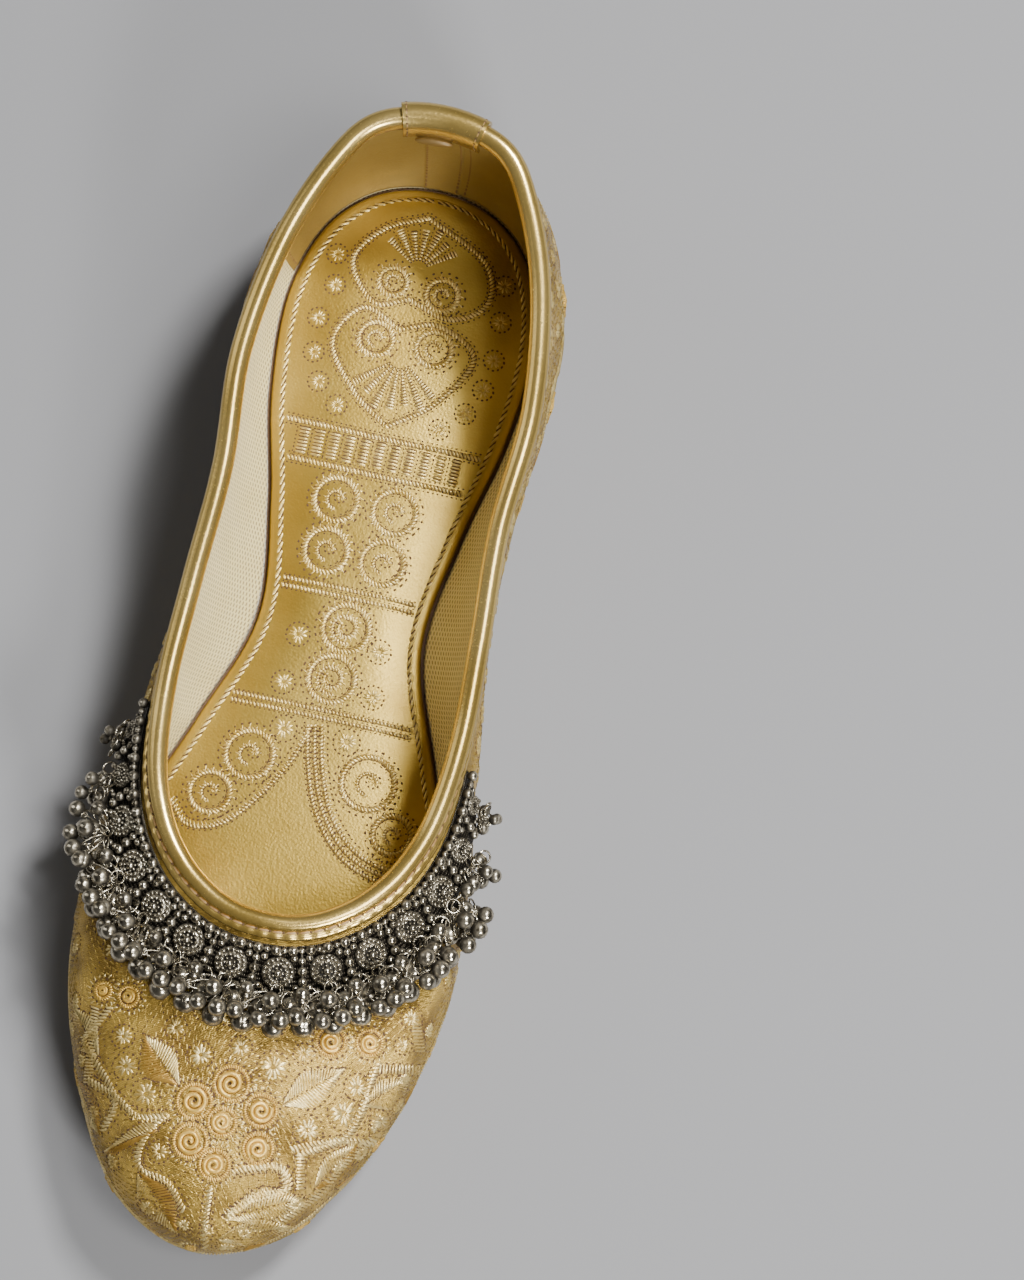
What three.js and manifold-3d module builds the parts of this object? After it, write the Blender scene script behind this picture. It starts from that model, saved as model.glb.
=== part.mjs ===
// A woman's mojari (jutti): a flat slip-on shoe with a wide collar, made of a brocade upper on a flat
// leather sole with a low heel lift, a rolled binding round the collar, a padded insole, and a chain of
// metal rosettes and little round bells (ghungroo) sewn round the throat.
//
// Millimetres, +Z up. The toe points to -Y. The origin is the middle of the heel lift's face on the floor.

import * as THREE from "three";
import { mergeVertices } from "three/addons/utils/BufferGeometryUtils.js";
import Module from "manifold-3d";

const wasm = await Module();
wasm.setup();

// Driving dimensions
const LENGTH = 250; // toe tip to heel back
const BALL_WIDTH = 84; // widest, at the ball
const COLLAR_HEIGHT = 50; // collar at the heel back, above the sole's top
const HEEL_LIFT = 8;
const SOLE_THICKNESS = 3.5;
const TOE_SPRING = 5;
const WALL = 2.2; // brocade, stiffener and lining together
const GAP = 0.3; // between pieces that touch
const INSOLE_THICKNESS = 3;
const INSOLE_BEVEL = 0.9;
const INSOLE_GAP = 0.4; // insole's edge to the foot of the lining
const SOLE_MARGIN = 0.4; // sole edge outside the foot of the wall
const HEEL_LIFT_INSET = 0.8;
const HEEL_LIFT_LENGTH = 56;
const BINDING_SKIN = 0.9; // thickness of the folded binding strip
const BINDING_OUTER_LIP = 3.0;
const BINDING_INNER_LIP = 4.6;
const TAB_SKIN = 0.7; // the patch that covers the binding's joint at the heel
const TAB_LENGTH = 19;
const TAB_OUTER_LIP = 3.4;
const TAB_INNER_LIP = 6.1;
const ROSETTE_DIAMETER = 7;
const ROSETTE_THICKNESS = 2.3;
const ROSETTE_LINE = 10; // rosette centres, below the collar's edge
const ROSETTE_PITCH = 10.2;
const ROSETTE_COUNT = 14;
const BEAD_DIAMETER = 2.3;
const BEAD_LINE = 5; // small beads, below the collar's edge
const BEAD_PITCH = 4.1;
const CHAIN_WIRE = 1.1;
const SIDE_BEAD_DIAMETER = 2.1;
const BELL_DIAMETER = 4.2;
const BELL_WIRE = 1.2;
const RING_LINE = 14.9; // where each bunch of bells hangs from its rosette
const TRIM_GAP = 0.36; // trim to brocade, a little more than GAP as the brocade is faceted

// How finely the loops are stepped
const LOOP_STEPS = 70;
const LOWER_STEPS = 2;
const UPPER_STEPS = 7;
const BINDING_ARC_STEPS = 4;
const TAB_ARC_STEPS = 6;
const TAB_STEPS = 6;

const HALF_BALL = BALL_WIDTH / 2;

// The last, one row for each line that runs down the upper, from the heel back (first) round to the toe.
// Along: share of LENGTH in front of the heel back. Out: share of HALF_BALL. Up: share of COLLAR_HEIGHT
// above the sole. lean: degrees that the surface falls away from vertical at the collar. round: 1 where
// the wall swells between foot and widest line, 0 where it is straight.
const LAST_COLUMNS = [
  "collarAlong", "collarOut", "collarUp",
  "wideAlong", "wideOut", "wideUp",
  "footAlong", "footOut",
  "lean", "round",
];
const LAST = [
  [0.012, 0.000, 1.000, 0.000, 0.000, 0.360, 0.015, 0.000, 7, 1],
  [0.026, 0.338, 0.995, 0.016, 0.388, 0.360, 0.029, 0.345, 8, 1],
  [0.068, 0.531, 0.965, 0.064, 0.660, 0.360, 0.073, 0.610, 10, 1],
  [0.144, 0.700, 0.910, 0.144, 0.820, 0.360, 0.147, 0.735, 8, 1],
  [0.244, 0.785, 0.845, 0.244, 0.840, 0.390, 0.242, 0.700, 4, 0.8],
  [0.344, 0.752, 0.785, 0.344, 0.785, 0.460, 0.338, 0.575, 2, 0.5],
  [0.440, 0.780, 0.750, 0.444, 0.798, 0.530, 0.438, 0.505, 3, 0.4],
  [0.528, 0.795, 0.735, 0.544, 0.890, 0.470, 0.536, 0.700, 12, 0.6],
  [0.600, 0.748, 0.735, 0.640, 0.980, 0.370, 0.632, 0.900, 32, 0.85],
  [0.648, 0.643, 0.745, 0.736, 0.998, 0.290, 0.728, 0.948, 47, 1],
  [0.682, 0.495, 0.760, 0.828, 0.905, 0.230, 0.820, 0.862, 57, 1],
  [0.704, 0.324, 0.775, 0.906, 0.715, 0.190, 0.898, 0.680, 64, 1],
  [0.715, 0.162, 0.785, 0.972, 0.430, 0.160, 0.964, 0.405, 68, 1],
  [0.718, 0.000, 0.790, 1.000, 0.000, 0.145, 0.991, 0.000, 69, 1],
].map((row) => Object.fromEntries(LAST_COLUMNS.map((name, i) => [name, row[i]])));
const LAST_ROWS = LAST.length - 1;

// The heel lift's middle, where the origin is, as a distance in front of the heel back
const HEEL_LIFT_BACK = LAST[0].footAlong * LENGTH - SOLE_MARGIN + HEEL_LIFT_INSET;
const HEEL_CENTRE = HEEL_LIFT_BACK + HEEL_LIFT_LENGTH / 2;

// Shares of LENGTH where the sole bends
const WAIST_START = 0.25;
const WAIST_END = 0.56;
const FOREFOOT_END = 0.83;

// One bunch of bells. across and down: millimetres from the ring; up: the bell's centre off the brocade in
// radii of a full bell; size: share of BELL_DIAMETER
const BUNCH = [
  { across: -2.7, down: 3.0, up: 1.15, size: 0.95 },
  { across: 2.7, down: 2.3, up: 1.15, size: 0.85 },
  { across: 0.3, down: 6.6, up: 1.15, size: 1.0 },
  { across: -0.8, down: 0.6, up: 3.1, size: 0.85 },
  { across: 0.9, down: 4.6, up: 3.2, size: 0.8 },
];
const SMALL_BUNCH = 3; // bells in a bunch that isn't full size
// Sizes of the units at the two ends of the chain, which grows from small to full
const END_SIZES = [0.62, 0.8];

const smooth = (t) => t * t * (3 - 2 * t);
const clamp01 = (t) => Math.min(1, Math.max(0, t));
const lerp = (a, b, t) => a + (b - a) * t;
// A repeatable spread between -1 and 1 that looks irregular
const scatter = (n) => Math.sin(n * 12.9898) * Math.cos(n * 4.1414);

// y of a distance in front of the heel back
const alongToY = (along) => HEEL_CENTRE - along;

// Underside of the sole: on the heel lift, down through the waist, flat under the forefoot, then toe spring
function soleBottom(along) {
  const share = along / LENGTH;
  const waist = clamp01((share - WAIST_START) / (WAIST_END - WAIST_START));
  if (share < FOREFOOT_END) return HEEL_LIFT * (1 - smooth(waist));
  return TOE_SPRING * ((share - FOREFOOT_END) / (1 - FOREFOOT_END)) ** 2;
}
const soleTop = (along) => soleBottom(along) + SOLE_THICKNESS;

// Smooth value of a column of LAST at u (0 heel back, 1 toe). Past both ends the rows are mirrored, and the
// columns that measure out change sign.
function column(name, u) {
  const odd = name.endsWith("Out");
  const at = (i) => {
    const mirrored = i < 0 || i > LAST_ROWS;
    const row = LAST[i < 0 ? -i : i > LAST_ROWS ? 2 * LAST_ROWS - i : i];
    return odd && mirrored ? -row[name] : row[name];
  };
  const place = clamp01(u) * LAST_ROWS;
  const i = Math.min(LAST_ROWS - 1, Math.floor(place));
  const t = place - i;
  const [a, b, c, d] = [at(i - 1), at(i), at(i + 1), at(i + 2)];
  return b + 0.5 * t * (c - a + t * (2 * a - 5 * b + 4 * c - d + t * (3 * (b - c) + d - a)));
}

// A place on the loop round the shoe: loop 0 is the heel back, 0.5 the toe, and 0 to 0.5 is the +X side
function side(loop) {
  const turn = loop - Math.floor(loop);
  return turn <= 0.5 ? { u: 2 * turn, hand: 1 } : { u: 2 - 2 * turn, hand: -1 };
}

// The named line (collar, wide or foot) of the last at a place on the loop
function lineOf(name, loop) {
  const { u, hand } = side(loop);
  const along = LENGTH * column(name + "Along", u);
  const height = name === "foot" ? 0 : COLLAR_HEIGHT * column(name + "Up", u);
  const out = hand * HALF_BALL * column(name + "Out", u);
  return new THREE.Vector3(out, alongToY(along), soleTop(along) + GAP + height);
}

const LOOP_DELTA = 1e-4;

// Outward direction, level, square to a line of the last
function levelOutward(name, loop) {
  const ahead = lineOf(name, loop + LOOP_DELTA).sub(lineOf(name, loop - LOOP_DELTA));
  return new THREE.Vector3(-ahead.y, ahead.x, 0).normalize();
}

// The upper's outer surface: rise 0 is its foot, 0.5 its widest line and 1 the collar
const ARM = 0.38; // reach of the curve's handles, as a share of the chord from widest line to collar
const FOOT_HANDLE = 0.3;
function profile(loop) {
  const { u } = side(loop);
  const foot = lineOf("foot", loop);
  const wide = lineOf("wide", loop);
  const collar = lineOf("collar", loop);
  const straight = foot.clone().lerp(wide, 0.5);
  const swelled = new THREE.Vector3(wide.x, wide.y, lerp(foot.z, wide.z, FOOT_HANDLE));
  const elbow = straight.lerp(swelled, column("round", u));
  const reach = ARM * wide.distanceTo(collar);
  const risen = wide.clone().addScaledVector(wide.clone().sub(elbow).normalize(), reach);
  const lean = THREE.MathUtils.degToRad(column("lean", u));
  const fall = levelOutward("collar", loop).multiplyScalar(Math.sin(lean) * reach);
  const eased = collar.clone().add(fall).add(new THREE.Vector3(0, 0, -Math.cos(lean) * reach));
  const lower = new THREE.QuadraticBezierCurve3(foot, elbow, wide);
  const upper = new THREE.CubicBezierCurve3(wide, risen, eased, collar);
  return (rise) => (rise < 0.5 ? lower.getPoint(rise * 2) : upper.getPoint(rise * 2 - 1));
}

const RISE_DELTA = 1e-3;
// Outward direction of the surface
function outward(loop, rise) {
  const low = Math.max(0, rise - RISE_DELTA);
  const high = Math.min(1, rise + RISE_DELTA);
  const here = profile(loop);
  const up = here(high).sub(here(low));
  const round = profile(loop + LOOP_DELTA)(rise).sub(profile(loop - LOOP_DELTA)(rise));
  return up.cross(round).normalize();
}

// The point and directions that lie a distance below the collar, measured down the surface
const DESCENT_STEPS = 60;
function belowCollar(loop, distance) {
  const here = profile(loop);
  let rise = 1;
  let gone = 0;
  let last = here(1);
  while (gone < distance) {
    const next = here(rise - 0.5 / DESCENT_STEPS);
    const step = next.distanceTo(last);
    if (gone + step >= distance) {
      rise -= (0.5 / DESCENT_STEPS) * ((distance - gone) / step);
      last = here(rise);
      break;
    }
    gone += step;
    rise -= 0.5 / DESCENT_STEPS;
    last = next;
  }
  return { point: last, normal: outward(loop, rise), rise };
}

// A closed solid from rings of points, each a closed section. closed joins the last ring to the first.
function solidFromRings(rings, closed) {
  const size = rings[0].length;
  const points = rings.flat();
  const faces = [];
  const last = closed ? rings.length : rings.length - 1;
  for (let i = 0; i < last; i++) {
    const a = i * size;
    const b = ((i + 1) % rings.length) * size;
    for (let j = 0; j < size; j++) {
      const k = (j + 1) % size;
      faces.push([a + j, b + j, b + k], [a + j, b + k, a + k]);
    }
  }
  if (!closed) {
    const flat = THREE.ShapeUtils.triangulateShape(sectionInPlane(rings[0]), []);
    const end = (rings.length - 1) * size;
    for (const [p, q, r] of flat) faces.push([p, q, r], [end + p, end + r, end + q]);
  }
  return facingOut(points, faces);
}

// A ring's points in the plane that they lie in, for filling the end of a sweep
function sectionInPlane(ring) {
  const arms = ring.map((point) => point.clone().sub(ring[0]));
  const first = arms[1].clone().normalize();
  const normal = new THREE.Vector3();
  arms.forEach((arm, i) => normal.add(arm.clone().cross(arms[(i + 1) % arms.length])));
  const second = normal.normalize().clone().cross(first);
  return arms.map((arm) => new THREE.Vector2(arm.dot(first), arm.dot(second)));
}

// A geometry from points and faces, turned so that its faces point out
function facingOut(points, faces) {
  let volume = 0;
  for (const [a, b, c] of faces) volume += points[a].dot(points[b].clone().cross(points[c]));
  const turned = volume < 0 ? faces.map(([a, b, c]) => [a, c, b]) : faces;
  const geometry = new THREE.BufferGeometry().setFromPoints(points);
  geometry.setIndex(turned.flat());
  return geometry;
}

function toManifold(geometry) {
  const bare = geometry.clone();
  bare.deleteAttribute("normal");
  bare.deleteAttribute("uv");
  const merged = mergeVertices(bare, 1e-4);
  return new wasm.Manifold(
    new wasm.Mesh({
      numProp: 3,
      vertProperties: merged.attributes.position.array,
      triVerts: new Uint32Array(merged.index.array),
    }),
  );
}

function fromManifold(solid) {
  const mesh = solid.getMesh();
  const geometry = new THREE.BufferGeometry();
  geometry.setAttribute("position", new THREE.BufferAttribute(mesh.vertProperties, mesh.numProp));
  geometry.setIndex(new THREE.BufferAttribute(mesh.triVerts, 1));
  return geometry;
}

// Joins overlapping geometries into one solid, with no voids sealed in between them
function fuse(geometries) {
  const joined = geometries.map(toManifold).reduce((all, next) => all.add(next));
  const shells = joined.decompose().filter((shell) => shell.volume() > 0);
  return fromManifold(shells.reduce((all, next) => all.add(next)));
}

// Upper: outer surface, lining WALL inside it, rim at the collar, and open underneath
function upperGeometry() {
  const rises = [];
  for (let j = 0; j < LOWER_STEPS; j++) rises.push((0.5 * j) / LOWER_STEPS);
  for (let j = 0; j <= UPPER_STEPS; j++) rises.push(0.5 + (0.5 * j) / UPPER_STEPS);
  const rings = [];
  for (let i = 0; i < LOOP_STEPS; i++) {
    const loop = i / LOOP_STEPS;
    const here = profile(loop);
    const outer = rises.map((rise) => here(rise));
    const inner = rises.map((rise, j) => {
      const point = outer[j].clone().addScaledVector(outward(loop, rise), -WALL);
      if (j === 0) point.z = outer[j].z; // the foot of the wall stands flat on the sole
      return point;
    });
    rings.push([...outer, ...inner.reverse()]);
  }
  return solidFromRings(rings, true);
}

// Outline round the foot of the upper, moved out (or in) by a distance; one entry for each step of the loop
function footOutline(out) {
  const outline = [];
  for (let i = 0; i < LOOP_STEPS; i++) {
    const loop = i / LOOP_STEPS;
    const point = lineOf("foot", loop).addScaledVector(levelOutward("foot", loop), out);
    outline.push({ x: point.x, along: HEEL_CENTRE - point.y });
  }
  return outline;
}

// A slab between two height functions of along. Its outlines run from the heel back round +X, toe and -X,
// so entries i and -i lie across from each other and each strip between them is flat.
function slabGeometry(layers) {
  const size = layers[0].outline.length;
  const points = [];
  for (const { outline, height } of layers) {
    for (const { x, along } of outline) points.push(new THREE.Vector3(x, alongToY(along), height(along)));
  }
  const faces = [];
  for (let l = 0; l + 1 < layers.length; l++) {
    for (let i = 0; i < size; i++) {
      const k = (i + 1) % size;
      const [a, b] = [l * size, (l + 1) * size];
      faces.push([a + i, a + k, b + k], [a + i, b + k, b + i]);
    }
  }
  const top = (layers.length - 1) * size;
  const across = (i) => (size - i) % size;
  for (let i = 0; i < size / 2; i++) {
    const strip = [i, i + 1, across(i + 1), across(i)];
    for (const [p, q, r] of [[0, 1, 2], [0, 2, 3]].map((t) => t.map((n) => strip[n]))) {
      if (p === q || q === r || r === p) continue;
      faces.push([p, r, q], [top + p, top + q, top + r]);
    }
  }
  return facingOut(points, faces);
}

function outsoleGeometry() {
  const outline = footOutline(SOLE_MARGIN);
  return slabGeometry([{ outline, height: soleBottom }, { outline, height: soleTop }]);
}

function insoleGeometry() {
  const outline = footOutline(-WALL - INSOLE_GAP);
  const inset = footOutline(-WALL - INSOLE_GAP - INSOLE_BEVEL);
  const raised = (height) => (along) => soleTop(along) + GAP + height;
  return slabGeometry([
    { outline, height: raised(0) },
    { outline, height: raised(INSOLE_THICKNESS - INSOLE_BEVEL) },
    { outline: inset, height: raised(INSOLE_THICKNESS) },
  ]);
}

// Heel lift: a flat block with the heel's outline and a straight front
function heelLiftGeometry() {
  const outline = footOutline(SOLE_MARGIN - HEEL_LIFT_INSET);
  const front = HEEL_LIFT_BACK + HEEL_LIFT_LENGTH;
  const corners = outline.flatMap((point, i) => {
    const next = outline[(i + 1) % outline.length];
    const kept = point.along < front ? [point] : [];
    if (point.along < front !== next.along < front) {
      const share = (front - point.along) / (next.along - point.along);
      kept.push({ x: lerp(point.x, next.x, share), along: front });
    }
    return kept;
  });
  const shape = new THREE.Shape(corners.map(({ x, along }) => new THREE.Vector2(x, alongToY(along))));
  return new THREE.ExtrudeGeometry(shape, { depth: HEEL_LIFT - GAP, bevelEnabled: false });
}

// A point of the binding's section: n out from the brocade, b up from the collar's edge, or down the
// brocade where b is below zero
function besideCollar(loop, n, b) {
  if (b < 0) {
    const { point, normal } = belowCollar(loop, -b);
    return point.clone().addScaledVector(normal, n);
  }
  const here = profile(loop);
  const normal = outward(loop, 1);
  const up = here(1).sub(here(1 - RISE_DELTA)).normalize();
  return here(1).addScaledVector(normal, n).addScaledVector(up, b);
}

// Half a circle over the wall's middle, from its outer side to its inner side
function arcOver(radius, steps) {
  const points = [];
  for (let i = 0; i <= steps; i++) {
    const angle = (Math.PI * i) / steps;
    points.push([radius * Math.cos(angle) - WALL / 2, radius * Math.sin(angle)]);
  }
  return points;
}

// The section of a strip folded over the collar. clearance: wall to strip. slot: the points of its inside.
function foldedSection(clearance, skin, outerLip, innerLip, steps, slot) {
  return [
    [clearance, -outerLip],
    [clearance + skin, -outerLip],
    ...arcOver(WALL / 2 + clearance + skin, steps),
    [-WALL - clearance - skin, -innerLip],
    [-WALL - clearance, -innerLip],
    ...slot.toReversed(),
  ];
}

const BINDING_SLOT = [[GAP, GAP], [-WALL - GAP, GAP]];
const BINDING_SECTION = foldedSection(
  GAP, BINDING_SKIN, BINDING_OUTER_LIP, BINDING_INNER_LIP, BINDING_ARC_STEPS, BINDING_SLOT,
);
const TAB_CLEARANCE = GAP + BINDING_SKIN + GAP; // the tab lies over the binding
const TAB_SLOT = arcOver(WALL / 2 + TAB_CLEARANCE, TAB_ARC_STEPS);
const TAB_SECTION = foldedSection(
  TAB_CLEARANCE, TAB_SKIN, TAB_OUTER_LIP, TAB_INNER_LIP, TAB_ARC_STEPS, TAB_SLOT,
);

function bindingGeometry() {
  const rings = [];
  for (let i = 0; i < LOOP_STEPS; i++) {
    rings.push(BINDING_SECTION.map(([n, b]) => besideCollar(i / LOOP_STEPS, n, b)));
  }
  return solidFromRings(rings, true);
}

// Length of the collar from the heel back to a place on the loop, and the place for a length
const COLLAR_SAMPLES = 400;
function loopAtLengths(distance, samples) {
  const table = [{ loop: samples.from, length: 0 }];
  let last = belowCollar(samples.from, distance).point;
  for (let i = 1; i <= COLLAR_SAMPLES; i++) {
    const loop = lerp(samples.from, samples.to, i / COLLAR_SAMPLES);
    const point = belowCollar(loop, distance).point;
    table.push({ loop, length: table[i - 1].length + point.distanceTo(last) });
    last = point;
  }
  return (length) => {
    const i = Math.max(1, table.findIndex((row) => row.length >= length));
    const [a, b] = [table[i - 1], table[i]];
    return lerp(a.loop, b.loop, (length - a.length) / (b.length - a.length));
  };
}

// Patch folded over the binding at the heel back, where the binding's two ends meet
function heelTabGeometry() {
  const loopAt = loopAtLengths(0, { from: 0, to: 0.1 });
  const rings = [];
  for (let i = 0; i <= TAB_STEPS; i++) {
    const length = TAB_LENGTH * (i / TAB_STEPS - 0.5);
    const loop = Math.sign(length) * loopAt(Math.abs(length));
    rings.push(TAB_SECTION.map(([n, b]) => besideCollar(loop, n, b)));
  }
  return solidFromRings(rings, false);
}

// The trim lies on the brocade round the throat. across is measured along the rosettes' line from the
// middle of the throat, down from the collar's edge, and height off the brocade.
const throatToSide = loopAtLengths(ROSETTE_LINE, { from: 0.5, to: 0.18 });
function onTrim(across, down, height) {
  const loop = throatToSide(Math.abs(across));
  const { point, normal } = belowCollar(across >= 0 ? loop : 1 - loop, down);
  return point.clone().addScaledVector(normal, height);
}

function trimAxes(across, down) {
  const step = 0.4;
  const along = onTrim(across + step, down, 0).sub(onTrim(across - step, down, 0)).normalize();
  const fall = onTrim(across, down + step, 0).sub(onTrim(across, down - step, 0)).normalize();
  const normal = fall.clone().cross(along).normalize();
  return new THREE.Matrix4().makeBasis(along, normal.clone().cross(along).normalize(), normal);
}

const moved = (geometry, place) => geometry.translate(place.x, place.y, place.z);
const ball = (centre, radius) => moved(new THREE.IcosahedronGeometry(radius), centre);

// A straight wire between two points
const WIRE_SIDES = 3;
function wire(from, to, diameter) {
  const run = to.clone().sub(from);
  const rod = new THREE.CylinderGeometry(diameter / 2, diameter / 2, run.length(), WIRE_SIDES);
  const turn = new THREE.Quaternion();
  turn.setFromUnitVectors(new THREE.Vector3(0, 1, 0), run.clone().normalize());
  return moved(rod.applyQuaternion(turn), from.clone().lerp(to, 0.5));
}

// Beads threaded on a wire: each bead swells from the wire's thickness to its own and back
const BEAD_SIDES = 5;
// Place along the wire in bead radii, and share of the swelling
const BEAD_SHAPE = [[-0.8, 0], [0, 1], [0.8, 0]];
function threadedBeads(centres, diameter) {
  const radius = diameter / 2;
  const rings = [];
  centres.forEach((centre, i) => {
    const before = centres[Math.max(0, i - 1)];
    const after = centres[Math.min(centres.length - 1, i + 1)];
    const ahead = after.clone().sub(before).normalize();
    const across = new THREE.Vector3(-ahead.z, 0, ahead.x).normalize();
    const up = ahead.clone().cross(across);
    for (const [place, swelling] of BEAD_SHAPE) {
      const girth = lerp(CHAIN_WIRE / 2, radius, swelling);
      const ring = [];
      for (let j = 0; j < BEAD_SIDES; j++) {
        const angle = (2 * Math.PI * j) / BEAD_SIDES;
        const spoke = across.clone().multiplyScalar(Math.cos(angle)).addScaledVector(up, Math.sin(angle));
        ring.push(centre.clone().addScaledVector(ahead, place * radius).addScaledVector(spoke, girth));
      }
      rings.push(ring);
    }
  });
  return solidFromRings(rings, false);
}

const unitAcross = (i) => (i - (ROSETTE_COUNT - 1) / 2) * ROSETTE_PITCH;
const unitSize = (i) => END_SIZES[Math.min(i, ROSETTE_COUNT - 1 - i)] ?? 1;

// Small beads on a wire along the collar, with two beads on a stub between each two rosettes
const CHAIN_END = unitAcross(ROSETTE_COUNT - 1) + ROSETTE_DIAMETER / 2;
const CHAIN_BEADS = Math.floor((2 * CHAIN_END) / BEAD_PITCH);
const STUB_LINES = [BEAD_LINE + 1, ROSETTE_LINE]; // a stub's two beads, below the collar's edge
function beadChainGeometry() {
  const centres = [];
  for (let i = 0; i <= CHAIN_BEADS; i++) {
    const across = lerp(-CHAIN_END, CHAIN_END, i / CHAIN_BEADS);
    centres.push(onTrim(across, BEAD_LINE, BEAD_DIAMETER / 2 + TRIM_GAP));
  }
  const pieces = [threadedBeads(centres, BEAD_DIAMETER)];
  for (let i = 0; i + 1 < ROSETTE_COUNT; i++) {
    const across = (unitAcross(i) + unitAcross(i + 1)) / 2;
    const stub = STUB_LINES.map((down) => onTrim(across, down, SIDE_BEAD_DIAMETER / 2 + TRIM_GAP));
    pieces.push(threadedBeads(stub, SIDE_BEAD_DIAMETER));
  }
  return fuse(pieces);
}

// A domed stud: a milled plate, a raised ring and a ball on top
const ROSETTE_SIDES = 8;
const ROSETTE_OUTLINE = [[0, 0], [1, 0], [1, 0.42], [0.5, 0.62], [0, 1]]; // shares of radius and thickness
function rosetteGeometry(i) {
  const radius = (ROSETTE_DIAMETER / 2) * unitSize(i);
  const thick = ROSETTE_THICKNESS * unitSize(i);
  const points = ROSETTE_OUTLINE.map(([out, up]) => new THREE.Vector2(out * radius, up * thick));
  const stud = new THREE.LatheGeometry(points, ROSETTE_SIDES);
  stud.rotateX(Math.PI / 2); // the stud's axis was +Y and becomes +Z
  const base = onTrim(unitAcross(i), ROSETTE_LINE, TRIM_GAP);
  return moved(stud.applyMatrix4(trimAxes(unitAcross(i), ROSETTE_LINE)), base);
}

// Small units hang their bunches nearer to the rosettes' line
const NEAREST_RING = 0.25;
const ringLine = (size) => lerp(ROSETTE_LINE, RING_LINE, lerp(NEAREST_RING, 1, size));

// A ring bead under its rosette, with bells on short wires
const BELL_WANDER = { across: 0.25, down: 0.3 }; // how far a bell hangs from its even place
const BELL_LIFT = 0.2;
function bunchGeometry(i) {
  const size = unitSize(i);
  const radius = (BELL_DIAMETER / 2) * size;
  const hub = onTrim(unitAcross(i), ringLine(size), BELL_WIRE * size + TRIM_GAP);
  const pieces = [ball(hub, BELL_WIRE * size)];
  BUNCH.slice(0, size < 1 ? SMALL_BUNCH : BUNCH.length).forEach((bell, k) => {
    const wander = scatter(i * 7 + k * 3 + 1);
    const across = unitAcross(i) + (bell.across + BELL_WANDER.across * wander) * size;
    const down = ringLine(size) + (bell.down + BELL_WANDER.down * wander) * size;
    const centre = onTrim(across, down, bell.up * radius + BELL_LIFT);
    pieces.push(ball(centre, radius * bell.size), wire(hub, centre, BELL_WIRE * size));
  });
  return fuse(pieces);
}

const finishes = {
  brocade: { color: 0xc9ab63, roughness: 0.5, metalness: 0.25 },
  goldLeather: { color: 0xd2b36a, roughness: 0.35, metalness: 0.45 },
  insoleSatin: { color: 0xc79f45, roughness: 0.4, metalness: 0.35 },
  soleLeather: { color: 0x8a6a45, roughness: 0.7, metalness: 0 },
  oxidisedSilver: { color: 0x7d7a72, roughness: 0.3, metalness: 1 },
};

const shoe = new THREE.Group();

function addPiece(name, geometry, finish) {
  const mesh = new THREE.Mesh(geometry, new THREE.MeshStandardMaterial(finishes[finish]));
  mesh.name = name;
  shoe.add(mesh);
}

addPiece("heel_lift", heelLiftGeometry(), "soleLeather");
addPiece("outsole", outsoleGeometry(), "soleLeather");
addPiece("insole", insoleGeometry(), "insoleSatin");
addPiece("upper", upperGeometry(), "brocade");
addPiece("binding", bindingGeometry(), "goldLeather");
addPiece("heel_tab", heelTabGeometry(), "goldLeather");
addPiece("bead_chain", beadChainGeometry(), "oxidisedSilver");
for (let i = 0; i < ROSETTE_COUNT; i++) {
  const number = String(i + 1).padStart(2, "0");
  addPiece(`rosette_${number}`, rosetteGeometry(i), "oxidisedSilver");
  addPiece(`ghungroo_${number}`, bunchGeometry(i), "oxidisedSilver");
}

export default shoe;
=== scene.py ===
"""The looks of a gold brocade mojari: embroidered upper, rolled binding, quilted insole and silver trim.

Sizes are millimetres in the shoe's own frame: +Z up, toe to -Y, origin under the heel's middle. A place on
the shoe is often given by x and by the distance in front of the heel back, which is called along.
"""

import bpy
import numpy as np
from mathutils import Matrix, Vector
from mathutils.bvhtree import BVHTree


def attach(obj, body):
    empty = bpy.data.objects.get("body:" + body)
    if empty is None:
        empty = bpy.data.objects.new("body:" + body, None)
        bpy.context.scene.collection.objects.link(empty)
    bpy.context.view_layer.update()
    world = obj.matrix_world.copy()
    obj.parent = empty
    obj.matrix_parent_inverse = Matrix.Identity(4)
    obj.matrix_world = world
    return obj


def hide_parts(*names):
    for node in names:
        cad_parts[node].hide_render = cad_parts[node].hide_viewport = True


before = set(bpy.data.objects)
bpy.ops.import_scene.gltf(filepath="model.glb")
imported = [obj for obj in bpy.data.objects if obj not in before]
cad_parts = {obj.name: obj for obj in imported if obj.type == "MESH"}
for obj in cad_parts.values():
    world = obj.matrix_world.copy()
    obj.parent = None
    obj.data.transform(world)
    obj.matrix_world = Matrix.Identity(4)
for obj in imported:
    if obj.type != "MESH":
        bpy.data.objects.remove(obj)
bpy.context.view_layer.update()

MM = 0.001
TURN = 2 * np.pi

# Driving dimensions, as in the CAD
LENGTH = 250
HALF_BALL = 42
COLLAR_HEIGHT = 50
HEEL_LIFT = 8
SOLE_THICKNESS = 3.5
TOE_SPRING = 5
WALL = 2.2
GAP = 0.3
INSOLE_GAP = 0.4
SOLE_MARGIN = 0.4
HEEL_LIFT_INSET = 0.8
HEEL_LIFT_LENGTH = 56
BINDING_SKIN = 0.9
BINDING_OUTER_LIP = 3.0
BINDING_INNER_LIP = 4.6
TAB_SKIN = 0.7
TAB_LENGTH = 19
ROSETTE_DIAMETER = 7
ROSETTE_THICKNESS = 2.3
ROSETTE_LINE = 10
ROSETTE_PITCH = 10.2
ROSETTE_COUNT = 14
BEAD_DIAMETER = 2.3
BEAD_LINE = 5
BEAD_PITCH = 4.1
SIDE_BEAD_DIAMETER = 2.1
BELL_DIAMETER = 4.2
RING_LINE = 14.9
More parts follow.
